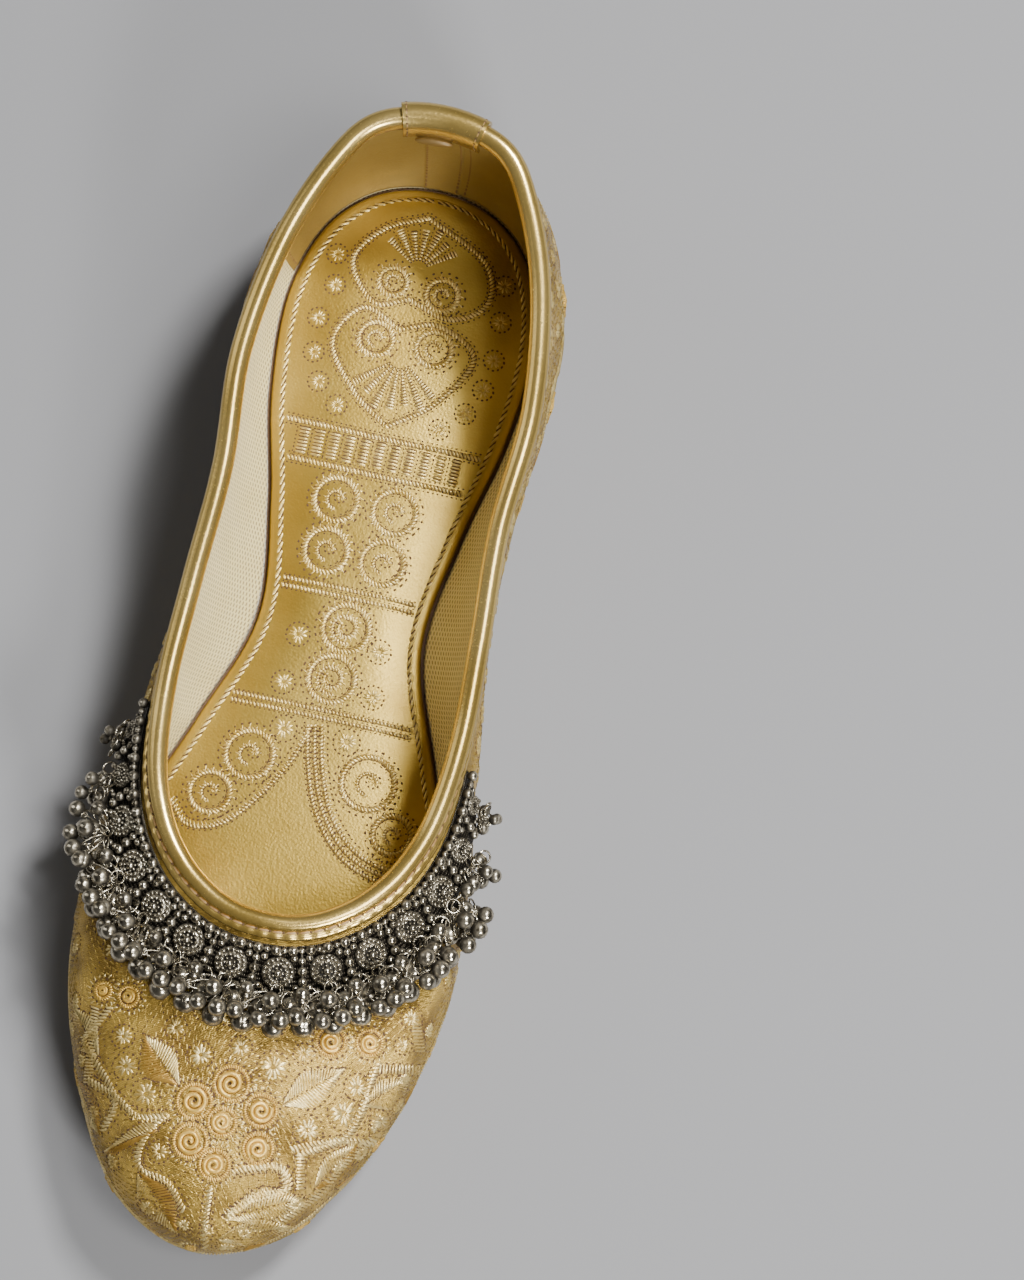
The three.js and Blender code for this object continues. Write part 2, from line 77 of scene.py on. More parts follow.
NEAREST_RING = 0.25
TRIM_GAP = 0.36
END_SIZES = (0.62, 0.8)
WAIST_START, WAIST_END, FOREFOOT_END = 0.25, 0.56, 0.83

# The last, as in the CAD: one row for each line that runs down the upper, from the heel back to the toe
LAST_COLUMNS = (
    "collarAlong", "collarOut", "collarUp",
    "wideAlong", "wideOut", "wideUp",
    "footAlong", "footOut",
    "lean", "round",
)
LAST = np.array([
    (0.012, 0.000, 1.000, 0.000, 0.000, 0.360, 0.015, 0.000, 7, 1),
    (0.026, 0.338, 0.995, 0.016, 0.388, 0.360, 0.029, 0.345, 8, 1),
    (0.068, 0.531, 0.965, 0.064, 0.660, 0.360, 0.073, 0.610, 10, 1),
    (0.144, 0.700, 0.910, 0.144, 0.820, 0.360, 0.147, 0.735, 8, 1),
    (0.244, 0.785, 0.845, 0.244, 0.840, 0.390, 0.242, 0.700, 4, 0.8),
    (0.344, 0.752, 0.785, 0.344, 0.785, 0.460, 0.338, 0.575, 2, 0.5),
    (0.440, 0.780, 0.750, 0.444, 0.798, 0.530, 0.438, 0.505, 3, 0.4),
    (0.528, 0.795, 0.735, 0.544, 0.890, 0.470, 0.536, 0.700, 12, 0.6),
    (0.600, 0.748, 0.735, 0.640, 0.980, 0.370, 0.632, 0.900, 32, 0.85),
    (0.648, 0.643, 0.745, 0.736, 0.998, 0.290, 0.728, 0.948, 47, 1),
    (0.682, 0.495, 0.760, 0.828, 0.905, 0.230, 0.820, 0.862, 57, 1),
    (0.704, 0.324, 0.775, 0.906, 0.715, 0.190, 0.898, 0.680, 64, 1),
    (0.715, 0.162, 0.785, 0.972, 0.430, 0.160, 0.964, 0.405, 68, 1),
    (0.718, 0.000, 0.790, 1.000, 0.000, 0.145, 0.991, 0.000, 69, 1),
])
LAST_ROWS = len(LAST) - 1
HEEL_LIFT_BACK = LAST[0][LAST_COLUMNS.index("footAlong")] * LENGTH - SOLE_MARGIN + HEEL_LIFT_INSET
HEEL_CENTRE = HEEL_LIFT_BACK + HEEL_LIFT_LENGTH / 2


# Camera, at the photograph's angle. The frame is taken as 1024 x 1280.
PHOTO_HEIGHT = 1280
FOCAL_PIXELS = 3602
SENSOR = 36
AIM = Vector((38.2, -72.5, 20))
CAMERA_DISTANCE = 799.6
AZIMUTH, ELEVATION, ROLL = np.radians((2.13, 80.68, 10.41))


def add_camera():
    backward = Vector((
        np.sin(AZIMUTH) * np.cos(ELEVATION),
        -np.cos(AZIMUTH) * np.cos(ELEVATION),
        np.sin(ELEVATION),
    ))
    level = Vector((0, 0, 1)).cross(backward).normalized()
    upright = backward.cross(level)
    right = level * np.cos(ROLL) + upright * np.sin(ROLL)
    up = upright * np.cos(ROLL) - level * np.sin(ROLL)
    lens = bpy.data.cameras.new("photo_view")
    lens.sensor_width = SENSOR
    lens.lens = FOCAL_PIXELS * SENSOR / PHOTO_HEIGHT
    lens.clip_end = 10
    camera = bpy.data.objects.new("photo_view", lens)
    camera.matrix_world = Matrix.Translation((AIM + backward * CAMERA_DISTANCE) * MM) @ Matrix(
        (right, up, backward)).transposed().to_4x4()
    bpy.context.scene.collection.objects.link(camera)
    bpy.context.scene.camera = camera


add_camera()


# Shader maths

class Wire:
    """A node's output that takes part in Python arithmetic; each operation adds a Math node."""

    def __init__(self, finish, socket):
        self.finish = finish
        self.socket = socket

    def __add__(self, other):
        return self.finish.math("ADD", self, other)

    __radd__ = __add__

    def __mul__(self, other):
        return self.finish.math("MULTIPLY", self, other)

    __rmul__ = __mul__

    def __sub__(self, other):
        return self.finish.math("SUBTRACT", self, other)

    def __rsub__(self, other):
        return self.finish.math("SUBTRACT", other, self)


class Finish:
    """One material, with short ways to add nodes to it."""

    def __init__(self, name, **constants):
        self.material = bpy.data.materials.new(name)
        self.material.use_nodes = True
        self.tree = self.material.node_tree
        self.shader = self.tree.nodes["Principled BSDF"]
        for socket, value in constants.items():
            self.feed(self.shader.inputs[socket.replace("_", " ")], value)

    def feed(self, socket, value):
        if isinstance(value, Wire):
            self.tree.links.new(value.socket, socket)
        elif isinstance(value, tuple) and len(value) == 3 and socket.type == "RGBA":
            socket.default_value = (*value, 1)
        else:
            socket.default_value = value

    def node(self, kind, settings=None, sockets=None, output=0):
        made = self.tree.nodes.new(kind)
        for setting, value in (settings or {}).items():
            setattr(made, setting, value)
        for socket, value in (sockets or {}).items():
            self.feed(made.inputs[socket], value)
        return Wire(self, made.outputs[output])

    def math(self, operation, *values):
        return self.node("ShaderNodeMath", {"operation": operation}, dict(enumerate(values)))

    def mix(self, factor, low, high):
        return self.node(
            "ShaderNodeMix", {"data_type": "RGBA"}, {"Factor": factor, 6: low, 7: high}, output=2)

    def stretched(self, vector, factors):
        return self.node("ShaderNodeVectorMath", {"operation": "MULTIPLY"}, {0: vector, 1: factors})

    def place(self):
        """Place on the shoe in millimetres."""
        point = self.node("ShaderNodeTexCoord", output="Object")
        return self.stretched(point, (1 / MM, 1 / MM, 1 / MM))

    def cloth(self):
        """Place on the cut cloth or leather in millimetres."""
        return self.node("ShaderNodeUVMap", {"uv_map": "cut"})

    def across(self, vector):
        """The two flat directions of a vector, as wires."""
        split = self.tree.nodes.new("ShaderNodeSeparateXYZ")
        self.feed(split.inputs[0], vector)
        return Wire(self, split.outputs[0]), Wire(self, split.outputs[1])

    def shade(self):
        """The number that each point of a piece carries."""
        return self.node("ShaderNodeAttribute", {"attribute_name": "shade"}, output="Fac")

    def noise(self, vector, scale, detail=2.0, distortion=0.0):
        return self.node("ShaderNodeTexNoise", None, {
            "Vector": vector, "Scale": scale, "Detail": detail, "Distortion": distortion})

    def between(self, value, low, high):
        """0 below low, 1 above high, smooth between."""
        return self.node(
            "ShaderNodeMapRange", {"interpolation_type": "SMOOTHSTEP"},
            {"Value": value, "From Min": low, "From Max": high})

    def rib(self, value, pitch):
        """A wave from -1 to 1 that repeats each pitch."""
        return self.math("SINE", value * (TURN / pitch))

    def colour(self, value):
        self.feed(self.shader.inputs["Base Color"], value)

    def rough(self, value):
        self.feed(self.shader.inputs["Roughness"], value)

    def metal(self, value):
        self.feed(self.shader.inputs["Metallic"], value)

    def relief(self, height, depth):
        """Bump whose height of 1 stands depth millimetres proud."""
        self.feed(self.shader.inputs["Normal"], self.node(
            "ShaderNodeBump", None, {"Height": height, "Distance": depth * MM, "Strength": 1.0}))


# Meshes

class Mould:
    """The points and faces of one piece, gathered part by part."""

    def __init__(self):
        self.points = []
        self.faces = []
        self.cuts = []
        self.shades = []
        self.count = 0

    def add(self, points, faces, cut=None, shade=0.0):
        points = np.reshape(points, (-1, 3))
        self.points.append(points)
        self.faces.append(np.asarray(faces) + self.count)
        self.cuts.append(points[:, :2] if cut is None else np.reshape(cut, (-1, 2)))
        self.shades.append(np.broadcast_to(np.ravel(shade), len(points)))
        self.count += len(points)

    def cast(self, name, finish, slot, replaced=()):
        mesh = bpy.data.meshes.new(name)
        faces = [face for part in self.faces for face in part.tolist()]
        mesh.from_pydata(np.concatenate(self.points) * MM, [], faces)
        mesh.shade_smooth()
        corners = np.empty(len(mesh.loops), dtype=np.int32)
        mesh.loops.foreach_get("vertex_index", corners)
        cut = mesh.uv_layers.new(name="cut")
        cut.data.foreach_set("uv", np.concatenate(self.cuts)[corners].astype(np.float32).ravel())
        shade = mesh.attributes.new("shade", "FLOAT", "POINT")
        shade.data.foreach_set("value", np.concatenate(self.shades).astype(np.float32))
        mesh.materials.append(finish.material)
        piece = bpy.data.objects.new(name, mesh)
        bpy.context.scene.collection.objects.link(piece)
        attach(piece, "root")
        if replaced:
            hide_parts(*replaced)
        return piece


def grid_faces(rows, columns, rows_close=False, columns_close=False):
    """Four-sided faces of a grid whose point (row, column) has the number row * columns + column."""
    row = np.arange(rows if rows_close else rows - 1)
    column = np.arange(columns if columns_close else columns - 1)
    row, column = np.meshgrid(row, column, indexing="ij")
    next_row = (row + 1) % rows
    next_column = (column + 1) % columns
    corners = [row * columns + column, next_row * columns + column,
               next_row * columns + next_column, row * columns + next_column]
    return np.stack(corners, -1).reshape(-1, 4)


def unit(vectors):
    return vectors / np.maximum(np.linalg.norm(vectors, axis=-1, keepdims=True), 1e-9)


def smooth(t):
    t = np.clip(t, 0, 1)
    return t * t * (3 - 2 * t)


def through(a, b, c, d, t):
    """A smooth step from b to c as t goes from 0 to 1, where a comes before them and d after."""
    return b + 0.5 * t * (c - a + t * (2 * a - 5 * b + 4 * c - d + t * (3 * (b - c) + d - a)))


def lengths_along(paths):
    """Distance from the start of a path, or of each path in a stack, to each of its points."""
    steps = np.linalg.norm(np.diff(paths, axis=-2), axis=-1)
    return np.concatenate([np.zeros((*steps.shape[:-1], 1)), np.cumsum(steps, axis=-1)], axis=-1)


def there_and_back(shown, hidden, step=1):
    """Columns of a closed skin: the shown ones, then the hidden ones from the far end back."""
    return np.concatenate([shown, hidden[:, ::-step]], axis=1)


# Small forms that repeat: balls, wire loops and stitches

def unit_ball(around, down):
    """Points of a ball of radius 1 as rows from pole to pole, and its faces."""
    polar = np.linspace(0, np.pi, down + 1)[:, None]
    turn = np.linspace(0, TURN, around, endpoint=False)[None, :]
    points = np.stack([np.sin(polar) * np.cos(turn), np.sin(polar) * np.sin(turn),
                       np.cos(polar) + 0 * turn], -1)
    return points.reshape(-1, 3), grid_faces(down + 1, around, columns_close=True)[:, ::-1]


def add_balls(mould, centres, radii, facing, around=14, down=9):
    """Balls whose side turned away from facing is darker and duller: painted shade and a painted dark rim, with
    some tarnish.
    """
    points, faces = unit_ball(around, down)
    radii = np.broadcast_to(radii, len(centres))
    for centre, radius, up in zip(centres, radii, np.broadcast_to(facing, (len(centres), 3))):
        # Painted shade: the cap stays bright and the shade grows to a dark rim and underside.
        mould.add(centre + points * radius, faces, shade=0.96 * smooth((0.94 - points @ up) / 0.86))


def add_tube(mould, path, normals, radius, sides=6, closed=False, shade=0.0):
    """A round wire along a path; normals keep its section from twisting."""
    path = np.asarray(path, float)
    if closed:
        ahead = unit(np.roll(path, -1, 0) - np.roll(path, 1, 0))
    else:
        ahead = unit(np.gradient(path, axis=0))
    beside = unit(np.cross(ahead, np.broadcast_to(normals, path.shape)))
    above = np.cross(beside, ahead)
    angle = np.linspace(0, TURN, sides, endpoint=False)[None, :, None]
    rings = path[:, None] + radius * (np.cos(angle) * beside[:, None] + np.sin(angle) * above[:, None])
    mould.add(rings, grid_faces(len(path), sides, rows_close=closed, columns_close=True), shade=shade)


LINK_STEPS, LINK_SIDES = 18, 5


def add_link(mould, start, end, width, wire, normal):
    """A long wire loop from start to end, lying square to the normal."""
    middle = (start + end) / 2
    half = (end - start) / 2
    beside = unit(np.cross(normal, half)) * width / 2
    angle = np.linspace(0, TURN, LINK_STEPS, endpoint=False)[:, None]
    loop = middle + half * np.cos(angle) + beside * np.sin(angle)
    add_tube(mould, loop, normal, wire / 2, LINK_SIDES, closed=True, shade=0.25)


# A stitch is a grain: stations along it with their shares of width and height, and a three-sided section
STITCH_STATIONS = np.array([(0.0, 0.35, -0.35), (0.22, 1.0, 0.9), (0.78, 1.0, 0.9), (1.0, 0.35, -0.35)])
STITCH_ACROSS = np.array([(-0.5, 0.0), (0.0, 1.0), (0.5, 0.0)])


def add_stitches(mould, starts, ends, normals, width, height, shade=0.0):
    """Many stitches at once, each from start to end, with its top turned to its normal."""
    starts, ends, normals = (np.reshape(a, (-1, 3)) for a in (starts, ends, normals))
    count = len(starts)
    if not count:
        return
    beside = unit(np.cross(ends - starts, normals))
    width = np.broadcast_to(width, count)[:, None, None, None]
    height = np.broadcast_to(height, count)[:, None, None, None]
    place, share, rise = STITCH_STATIONS.T
    spine = starts[:, None] + (ends - starts)[:, None] * place[None, :, None]
    across = STITCH_ACROSS[None, None, :, 0, None] * share[None, :, None, None] * width
    crown = STITCH_ACROSS[None, None, :, 1, None]
    proud = (crown * rise[None, :, None, None] - 0.2 * (1 - crown)) * height
    points = spine[:, :, None] + across * beside[:, None, None] + proud * normals[:, None, None]
    rows, columns = len(STITCH_STATIONS), len(STITCH_ACROSS)
    single = grid_faces(rows, columns)[:, ::-1]
    faces = (single[None] + (np.arange(count) * rows * columns)[:, None, None]).reshape(-1, 4)
    shades = np.repeat(np.broadcast_to(shade, count), rows * columns)
    mould.add(points, faces, shade=shades)


def evenly(path, pitch):
    """Points at about an even pitch along a path."""
    path = np.asarray(path, float)
    lengths = lengths_along(path)
    count = max(2, int(round(lengths[-1] / pitch)) + 1)
    wanted = np.linspace(0, lengths[-1], count)
    return np.stack([np.interp(wanted, lengths, path[:, k]) for k in range(path.shape[1])], -1)


# The last

def sole_bottom(along):
    share = np.asarray(along) / LENGTH
    waist = HEEL_LIFT * (1 - smooth((share - WAIST_START) / (WAIST_END - WAIST_START)))
    spring = TOE_SPRING * ((share - FOREFOOT_END) / (1 - FOREFOOT_END)) ** 2
    return np.where(share < FOREFOOT_END, waist, spring)


def sole_top(along):
    return sole_bottom(along) + SOLE_THICKNESS


def side(loop):
    """Place along LAST and hand (+1 or -1) of a place on the loop: 0 heel back, 0.5 toe, 0 to 0.5 is +X."""
    turn = np.mod(loop, 1)
    return np.where(turn <= 0.5, 2 * turn, 2 - 2 * turn), np.where(turn <= 0.5, 1, -1)


def column(name, u):
    values = LAST[:, LAST_COLUMNS.index(name)]
    sign = -1 if name.endswith("Out") else 1
    values = np.concatenate([[sign * values[1]], values, [sign * values[-2]]])
    place = np.clip(u, 0, 1) * LAST_ROWS
    i = np.minimum(place.astype(int), LAST_ROWS - 1)
    return through(values[i], values[i + 1], values[i + 2], values[i + 3], place - i)


def line_of(name, loop):
    u, hand = side(loop)
    along = LENGTH * column(name + "Along", u)
    height = 0 if name == "foot" else COLLAR_HEIGHT * column(name + "Up", u)
    out = hand * HALF_BALL * column(name + "Out", u)
    return np.stack([out, HEEL_CENTRE - along, sole_top(along) + GAP + height], -1)


# How far apart two places are taken to find a direction on the last
LOOP_STEP = 1e-4
RISE_STEP = 1e-3


def level_outward(name, loop):
    ahead = line_of(name, loop + LOOP_STEP) - line_of(name, loop - LOOP_STEP)
    return unit(np.stack([-ahead[..., 1], ahead[..., 0], np.zeros_like(ahead[..., 0])], -1))


# Handles of the curves that run from the upper's foot to the collar, as shares of their chords
ARM = 0.38
FOOT_HANDLE = 0.3


def surface(loop, rise):
    """The upper's outer surface: rise 0 is its foot, 0.5 its widest line and 1 the collar."""
    loop, rise = np.broadcast_arrays(np.asarray(loop, float), np.asarray(rise, float))
    u, _ = side(loop)
    foot, wide, collar = (line_of(name, loop) for name in ("foot", "wide", "collar"))
    straight = (foot + wide) / 2
    swelled = wide.copy()
    swelled[..., 2] = foot[..., 2] + (wide[..., 2] - foot[..., 2]) * FOOT_HANDLE
    elbow = straight + (swelled - straight) * column("round", u)[..., None]
    reach = ARM * np.linalg.norm(collar - wide, axis=-1)[..., None]
    risen = wide + unit(wide - elbow) * reach
    lean = np.radians(column("lean", u))[..., None]
    eased = collar + level_outward("collar", loop) * np.sin(lean) * reach
    eased = eased - np.cos(lean) * reach * np.array((0, 0, 1))
    t = np.clip(rise * 2, 0, 1)[..., None]
    lower = (1 - t) ** 2 * foot + 2 * t * (1 - t) * elbow + t ** 2 * wide
    t = np.clip(rise * 2 - 1, 0, 1)[..., None]
    upper = ((1 - t) ** 3 * wide + 3 * t * (1 - t) ** 2 * risen
             + 3 * t ** 2 * (1 - t) * eased + t ** 3 * collar)
    return np.where(rise[..., None] < 0.5, lower, upper)


def outward(loop, rise):
    high = np.minimum(1, rise + RISE_STEP)
    low = np.maximum(0, rise - RISE_STEP)
    up = surface(loop, high) - surface(loop, low)
    round_about = surface(loop + LOOP_STEP, rise) - surface(loop - LOOP_STEP, rise)
    return unit(np.cross(up, round_about))


# The upper is followed down from the collar in this many steps, to this rise
DESCENT_STEPS = 110
DESCENT_END = 0.3


def below_collar(loop, distance):
    """Points and normals that lie a distance below the collar, measured down the surface."""
    loop, distance = np.broadcast_arrays(np.asarray(loop, float), np.asarray(distance, float))
    shape = loop.shape
    loop, distance = loop.ravel(), distance.ravel()
    descent = np.linspace(1, DESCENT_END, DESCENT_STEPS)
    gone = lengths_along(surface(loop[:, None], descent[None, :]))
    rise = np.array([np.interp(d, row, descent) for d, row in zip(distance, gone)])
    return surface(loop, rise).reshape(*shape, 3), outward(loop, rise).reshape(*shape, 3)


def beside_collar(loop, out, up):
    """Points of a section: out from the brocade, and up from the collar's edge or down the brocade."""
    point, normal = below_collar(loop, np.maximum(0, -up))
    crest = surface(loop, 1.0)
    rising = unit(crest - surface(loop, 1 - RISE_STEP))
    edge_normal = outward(loop, 1.0)
    above = crest + edge_normal * out[..., None] + rising * up[..., None]
    return np.where((up < 0)[..., None], point + normal * out[..., None], above)


# Cutting the cloth: the upper unfolded over the plane, so that weave and embroidery run over it evenly
UNFOLD_HEIGHT = 40


def unfolded(points, normals):
    flat = points[..., :2] + normals[..., :2] * (UNFOLD_HEIGHT - points[..., 2:3])
    return np.stack([flat[..., 0], HEEL_CENTRE - flat[..., 1]], -1)


LEAST_SPREAD = 1e-3  # a flat drawing leaves out faces that are narrower than this


class Chart:
    """A flat drawing of a surface: lift finds the point and normal that lie over a flat place."""

    def __init__(self, points, normals, flat, faces):
        self.points = points.reshape(-1, 3)
        self.normals = normals.reshape(-1, 3)
        self.flat = flat.reshape(-1, 2)
        triangles = np.concatenate([faces[:, [0, 1, 2]], faces[:, [0, 2, 3]]])
        first, second, third = (self.flat[triangles[:, k]] for k in range(3))
        spread = np.abs(np.cross(second - first, third - first))
        self.triangles = triangles[spread > LEAST_SPREAD]
        drawing = np.column_stack([self.flat, np.zeros(len(self.flat))])
        self.tree = BVHTree.FromPolygons(drawing.tolist(), self.triangles.tolist())

    def lift(self, places):
        places = np.reshape(places, (-1, 2))
        found = np.zeros((len(places), 3))
        normals = np.zeros((len(places), 3))
        for k, (x, y) in enumerate(places.tolist()):
            hit, _, number, _ = self.tree.find_nearest((x, y, 0))
            corners = self.triangles[number]
            (ax, ay), (bx, by), (cx, cy) = self.flat[corners].tolist()
            spread = (bx - ax) * (cy - ay) - (cx - ax) * (by - ay)
            b = ((hit.x - ax) * (cy - ay) - (cx - ax) * (hit.y - ay)) / spread
            c = ((bx - ax) * (hit.y - ay) - (hit.x - ax) * (by - ay)) / spread
            weights = np.array((1 - b - c, b, c))
            found[k] = weights @ self.points[corners]
            normals[k] = weights @ self.normals[corners]
        return found, unit(normals)


UPPER_LOOPS = 480
UPPER_RISES = 56
loops = np.arange(UPPER_LOOPS) / UPPER_LOOPS
rises = np.linspace(0, 1, UPPER_RISES)
outer_points = surface(loops[:, None], rises[None, :])
outer_normals = outward(loops[:, None], rises[None, :] + 0 * loops[:, None])
outer_faces = grid_faces(UPPER_LOOPS, UPPER_RISES, rows_close=True)

# Creases: soft troughs of the brocade, each from one (x, along) place to another. A negative depth
# is a ridge. The hem of such a shoe is drawn in at the waist, and the toe has shallow hollows beside the middle.
CREASE_COLUMNS = ("x", "along", "toX", "toAlong", "width", "depth")
CREASES = np.array([
    (-44, 118, -37, 150, 5.0, 0.55),
    (-38, 104, -40, 128, 3.6, -0.35),
    (-45, 150, -42, 176, 6.0, 0.50),
    (43, 122, 38, 150, 5.0, 0.55),
    (39, 100, 40, 124, 3.6, -0.35),
    (45, 152, 43, 172, 6.0, 0.45),
    (-30, 52, -37, 78, 5.5, 0.45),
    (31, 50, 37, 80, 5.5, 0.45),
    (-20, 8, -29, 28, 4.2, 0.40),
    (21, 8, 29, 26, 4.2, 0.40),
    (-33, 206, -21, 232, 5.0, 0.55),
    (34, 204, 23, 232, 5.0, 0.50),
    (-12, 236, -2, 246, 4.5, 0.45),
    (15, 228, 5, 240, 4.5, 0.45),
    (-22, 200, -10, 210, 5.0, 0.35),
    (24, 198, 12, 207, 5.0, 0.35),
    (-3, 206, 4, 207, 6.0, -0.30),
])


def creased(points):
    """How far the brocade stands proud of the plain form at each point."""
    x, along = points[..., 0], HEEL_CENTRE - points[..., 1]
    push = np.zeros(x.shape)
    for row in CREASES:
        crease = dict(zip(CREASE_COLUMNS, row))
        run = np.array((crease["toX"] - crease["x"], crease["toAlong"] - crease["along"]))
        length = np.linalg.norm(run)
        ahead = run / length
        t = (x - crease["x"]) * ahead[0] + (along - crease["along"]) * ahead[1]
        off = (x - crease["x"]) * ahead[1] - (along - crease["along"]) * ahead[0]
        past = np.maximum(0, np.maximum(-t, t - length))
        push -= crease["depth"] * np.exp(-(off ** 2 + past ** 2) / (crease["width"] ** 2 / 2))
    return push


# Creases and folds fade out over this share of the rise at the foot and at the collar
HEM_FADE = 0.12
# The vamp's drawing takes the faces whose normals point up at least this much
LEAST_UP = 0.08
hem_ease = smooth(rises / HEM_FADE) * smooth((1 - rises) / HEM_FADE)
brocade_points = outer_points + outer_normals * (creased(outer_points) * hem_ease)[..., None]
plan = np.stack([brocade_points[..., 0], HEEL_CENTRE - brocade_points[..., 1]], -1)
normals_up = outer_normals[..., 2].ravel()
top_faces = outer_faces[np.all(normals_up[outer_faces] > LEAST_UP, axis=1)]
vamp_chart = Chart(brocade_points, outer_normals, plan, top_faces)


# The wall laid out as a strip: length round the widest line from the heel back, and distance below the collar

def lay_out_strip():
    order = np.arange(-UPPER_LOOPS // 2, UPPER_LOOPS // 2 + 1)
    points = brocade_points[order % UPPER_LOOPS][:, ::-1]
    normals = outer_normals[order % UPPER_LOOPS][:, ::-1]
    length = lengths_along(surface(order / UPPER_LOOPS, 0.5))
    length -= length[-1] / 2
    down = lengths_along(points)
    flat = np.stack([np.broadcast_to(length[:, None], down.shape), down], -1)
    chart = Chart(points, normals, flat, grid_faces(len(order), UPPER_RISES))
    return chart, order / UPPER_LOOPS, length, down[:, -1]


strip_chart, strip_loops, strip_lengths, strip_depths = lay_out_strip()


# Needlework: stitches are drawn flat, in millimetres on a chart, and then laid on its surface

THREAD_DRIFT = 0.15  # how much darker a stitch may be than its neighbour


def wobble(count, seed=0.0):
    """A steady unevenness from -1 to 1, one number for each stitch."""
    n = np.arange(count) + seed * 17.3
    return np.sin(n * 12.9898) * np.cos(n * 4.1414 + seed)


class Needlework:
    """The stitches of one thread on one chart; shadow is the dark needlework that lies under them."""

    def __init__(self, chart, shadow=None):
        self.chart = chart
        self.shadow = shadow
        self.starts = []
        self.ends = []
        self.sizes = []

    def stitch(self, starts, ends, width, height):
        starts, ends = np.reshape(starts, (-1, 2)), np.reshape(ends, (-1, 2))
        self.starts.append(starts)
        self.ends.append(ends)
        shade = THREAD_DRIFT * (1 + wobble(len(starts), len(self.starts)))
        sizes = [np.broadcast_to(size, len(starts)) for size in (width, height, shade)]
        self.sizes.append(np.stack(sizes, -1))

    def shadow_band(self, path, width):
        """A flat dark band of painted shadow along both sides of what lies on it."""
        if self.shadow:
            running(self.shadow, path, pitch=1.6, filled=1.2, width=width, height=0.06)

    def sew(self, name, finish, slot):
        starts, starting = self.chart.lift(np.concatenate(self.starts))
        ends, ending = self.chart.lift(np.concatenate(self.ends))
        normals = unit(starting + ending)
        width, height, shade = np.concatenate(self.sizes).T
        mould = Mould()
        add_stitches(mould, starts, ends, normals, width, height, shade)
        return mould.cast(name, finish, slot)


def curve(*places, steps=16):
    """A smooth flat path through the places."""
    places = np.array(places, float)
    padded = np.vstack([2 * places[0] - places[1], places, 2 * places[-1] - places[-2]])
    t = np.linspace(0, 1, steps, endpoint=False)[:, None]
    parts = [through(*four, t) for four in zip(padded, padded[1:], padded[2:], padded[3:])]
    return np.vstack([*parts, places[-1:]])


def coil(place, radius, end_radius=None, start=0.0, turns=1.0, steps=48):
    """A circle, or a spiral that ends at another radius."""
    angle = TURN * (start + turns * np.linspace(0, 1, steps))
    reach = np.linspace(radius, radius if end_radius is None else end_radius, steps)
    return np.stack([place[0] + reach * np.cos(angle), place[1] + reach * np.sin(angle)], -1)


def paces(path, pitch):
    """Places at an even pitch along a flat path, their directions and their left sides."""
    places = evenly(path, pitch)
    ahead = unit(np.gradient(places, axis=0))
    return places, ahead, np.stack([-ahead[:, 1], ahead[:, 0]], -1)


def rope(work, path, width=1.35, pitch=0.85, lean=0.75, height=0.5, filled=0.88):
    """Slanted satin stitches side by side along a path."""
    places, ahead, left = paces(path, pitch)
    half = (left + ahead * lean) * width / 2 * (1 + 0.1 * wobble(len(places)))[:, None]
    # A band of painted shadow under the rope.
    work.shadow_band(path, width * 1.3)
    work.stitch(places - half, places + half, pitch * filled, height)


def running(work, path, pitch, filled, width, height, slant=0.0):
    """Running stitches, each turned a little across the path."""
    places, _, left = paces(path, pitch)
    half = (places[1:] - places[:-1]) * filled / 2
    middle = (places[1:] + places[:-1]) / 2
    across = left[:-1] * slant
    work.stitch(middle - half - across, middle + half + across, width, height)


def twisted(work, path, pitch=1.9, spread=0.62):
    """A cord of two strands: long stitches that cross the path one after another."""
    running(work, path, pitch, filled=1.5, width=0.74, height=0.45, slant=spread)


HAIR_LEAN = 0.4


def hairs(work, path, length=1.5, pitch=0.95, turned=1, width=0.4):
    """Short uneven stitches that stand off one side of a path."""
    places, ahead, left = paces(path, pitch)
    reach = (length * (1 + 0.28 * wobble(len(places), 3)))[:, None]
    ends = places + (left * turned + ahead * HAIR_LEAN) * reach
    work.stitch(places, ends, width, height=0.3)


def painted_shade(work, path, pitch=1.4, size=0.56, off=0.0):
    """Dark dots of painted shade at needle holes along a path, or beside it."""
    places, ahead, left = paces(path, pitch)
    middle = places + left * off
    half = ahead * size * (0.62 + 0.2 * wobble(len(places), 5))[:, None]
    work.stitch(middle - half, middle + half, size, height=0.11)


def shade_beside(work, path, off, pitch=1.4, size=0.56):
    """Dots of painted shade at needle holes along both sides of a path."""
    for side_off in (-off, off):
        painted_shade(work, path, pitch, size, side_off)


def satin(work, edge, other_edge, pitch=0.68, height=0.42, slip=0):
    """Stitches side by side from one edge to the other; slip sets how many places they slant."""
    edges = (edge, other_edge)
    lengths = [lengths_along(path)[-1] for path in edges]
    count = max(4, int(max(lengths) / pitch))
    starts, ends = (evenly(path, length / count) for path, length in zip(edges, lengths))
    count = min(len(starts), len(ends)) - slip
    starts, ends = starts[:count], ends[slip:slip + count]
    # Dark stitches of painted shade under every second stitch, which show as shade between the threads.
    if work.shadow:
        work.shadow.stitch(starts[::2], ends[::2], pitch * 2.1, height=0.06)
    work.stitch(starts, ends, pitch * 0.92, height * (1 + 0.1 * wobble(count)))


def star(work, shade_marks, place, radius, rays=11):
    """A seed flower: uneven rays round a middle, with dots of painted shade at needle holes round them."""
    angle = TURN * (np.arange(rays) + 0.25 * wobble(rays, radius)) / rays
    facing = np.stack([np.cos(angle), np.sin(angle)], -1)
    reach = radius * (0.86 + 0.16 * wobble(rays, radius + 1))[:, None]
    work.stitch(place + facing * radius * 0.12, place + facing * reach, radius * 0.27, 0.42)
    painted_shade(shade_marks, coil(place, radius * 1.12), pitch=max(1.1, radius * 0.45), size=0.54)


LEAF_FULLNESS = 1.25


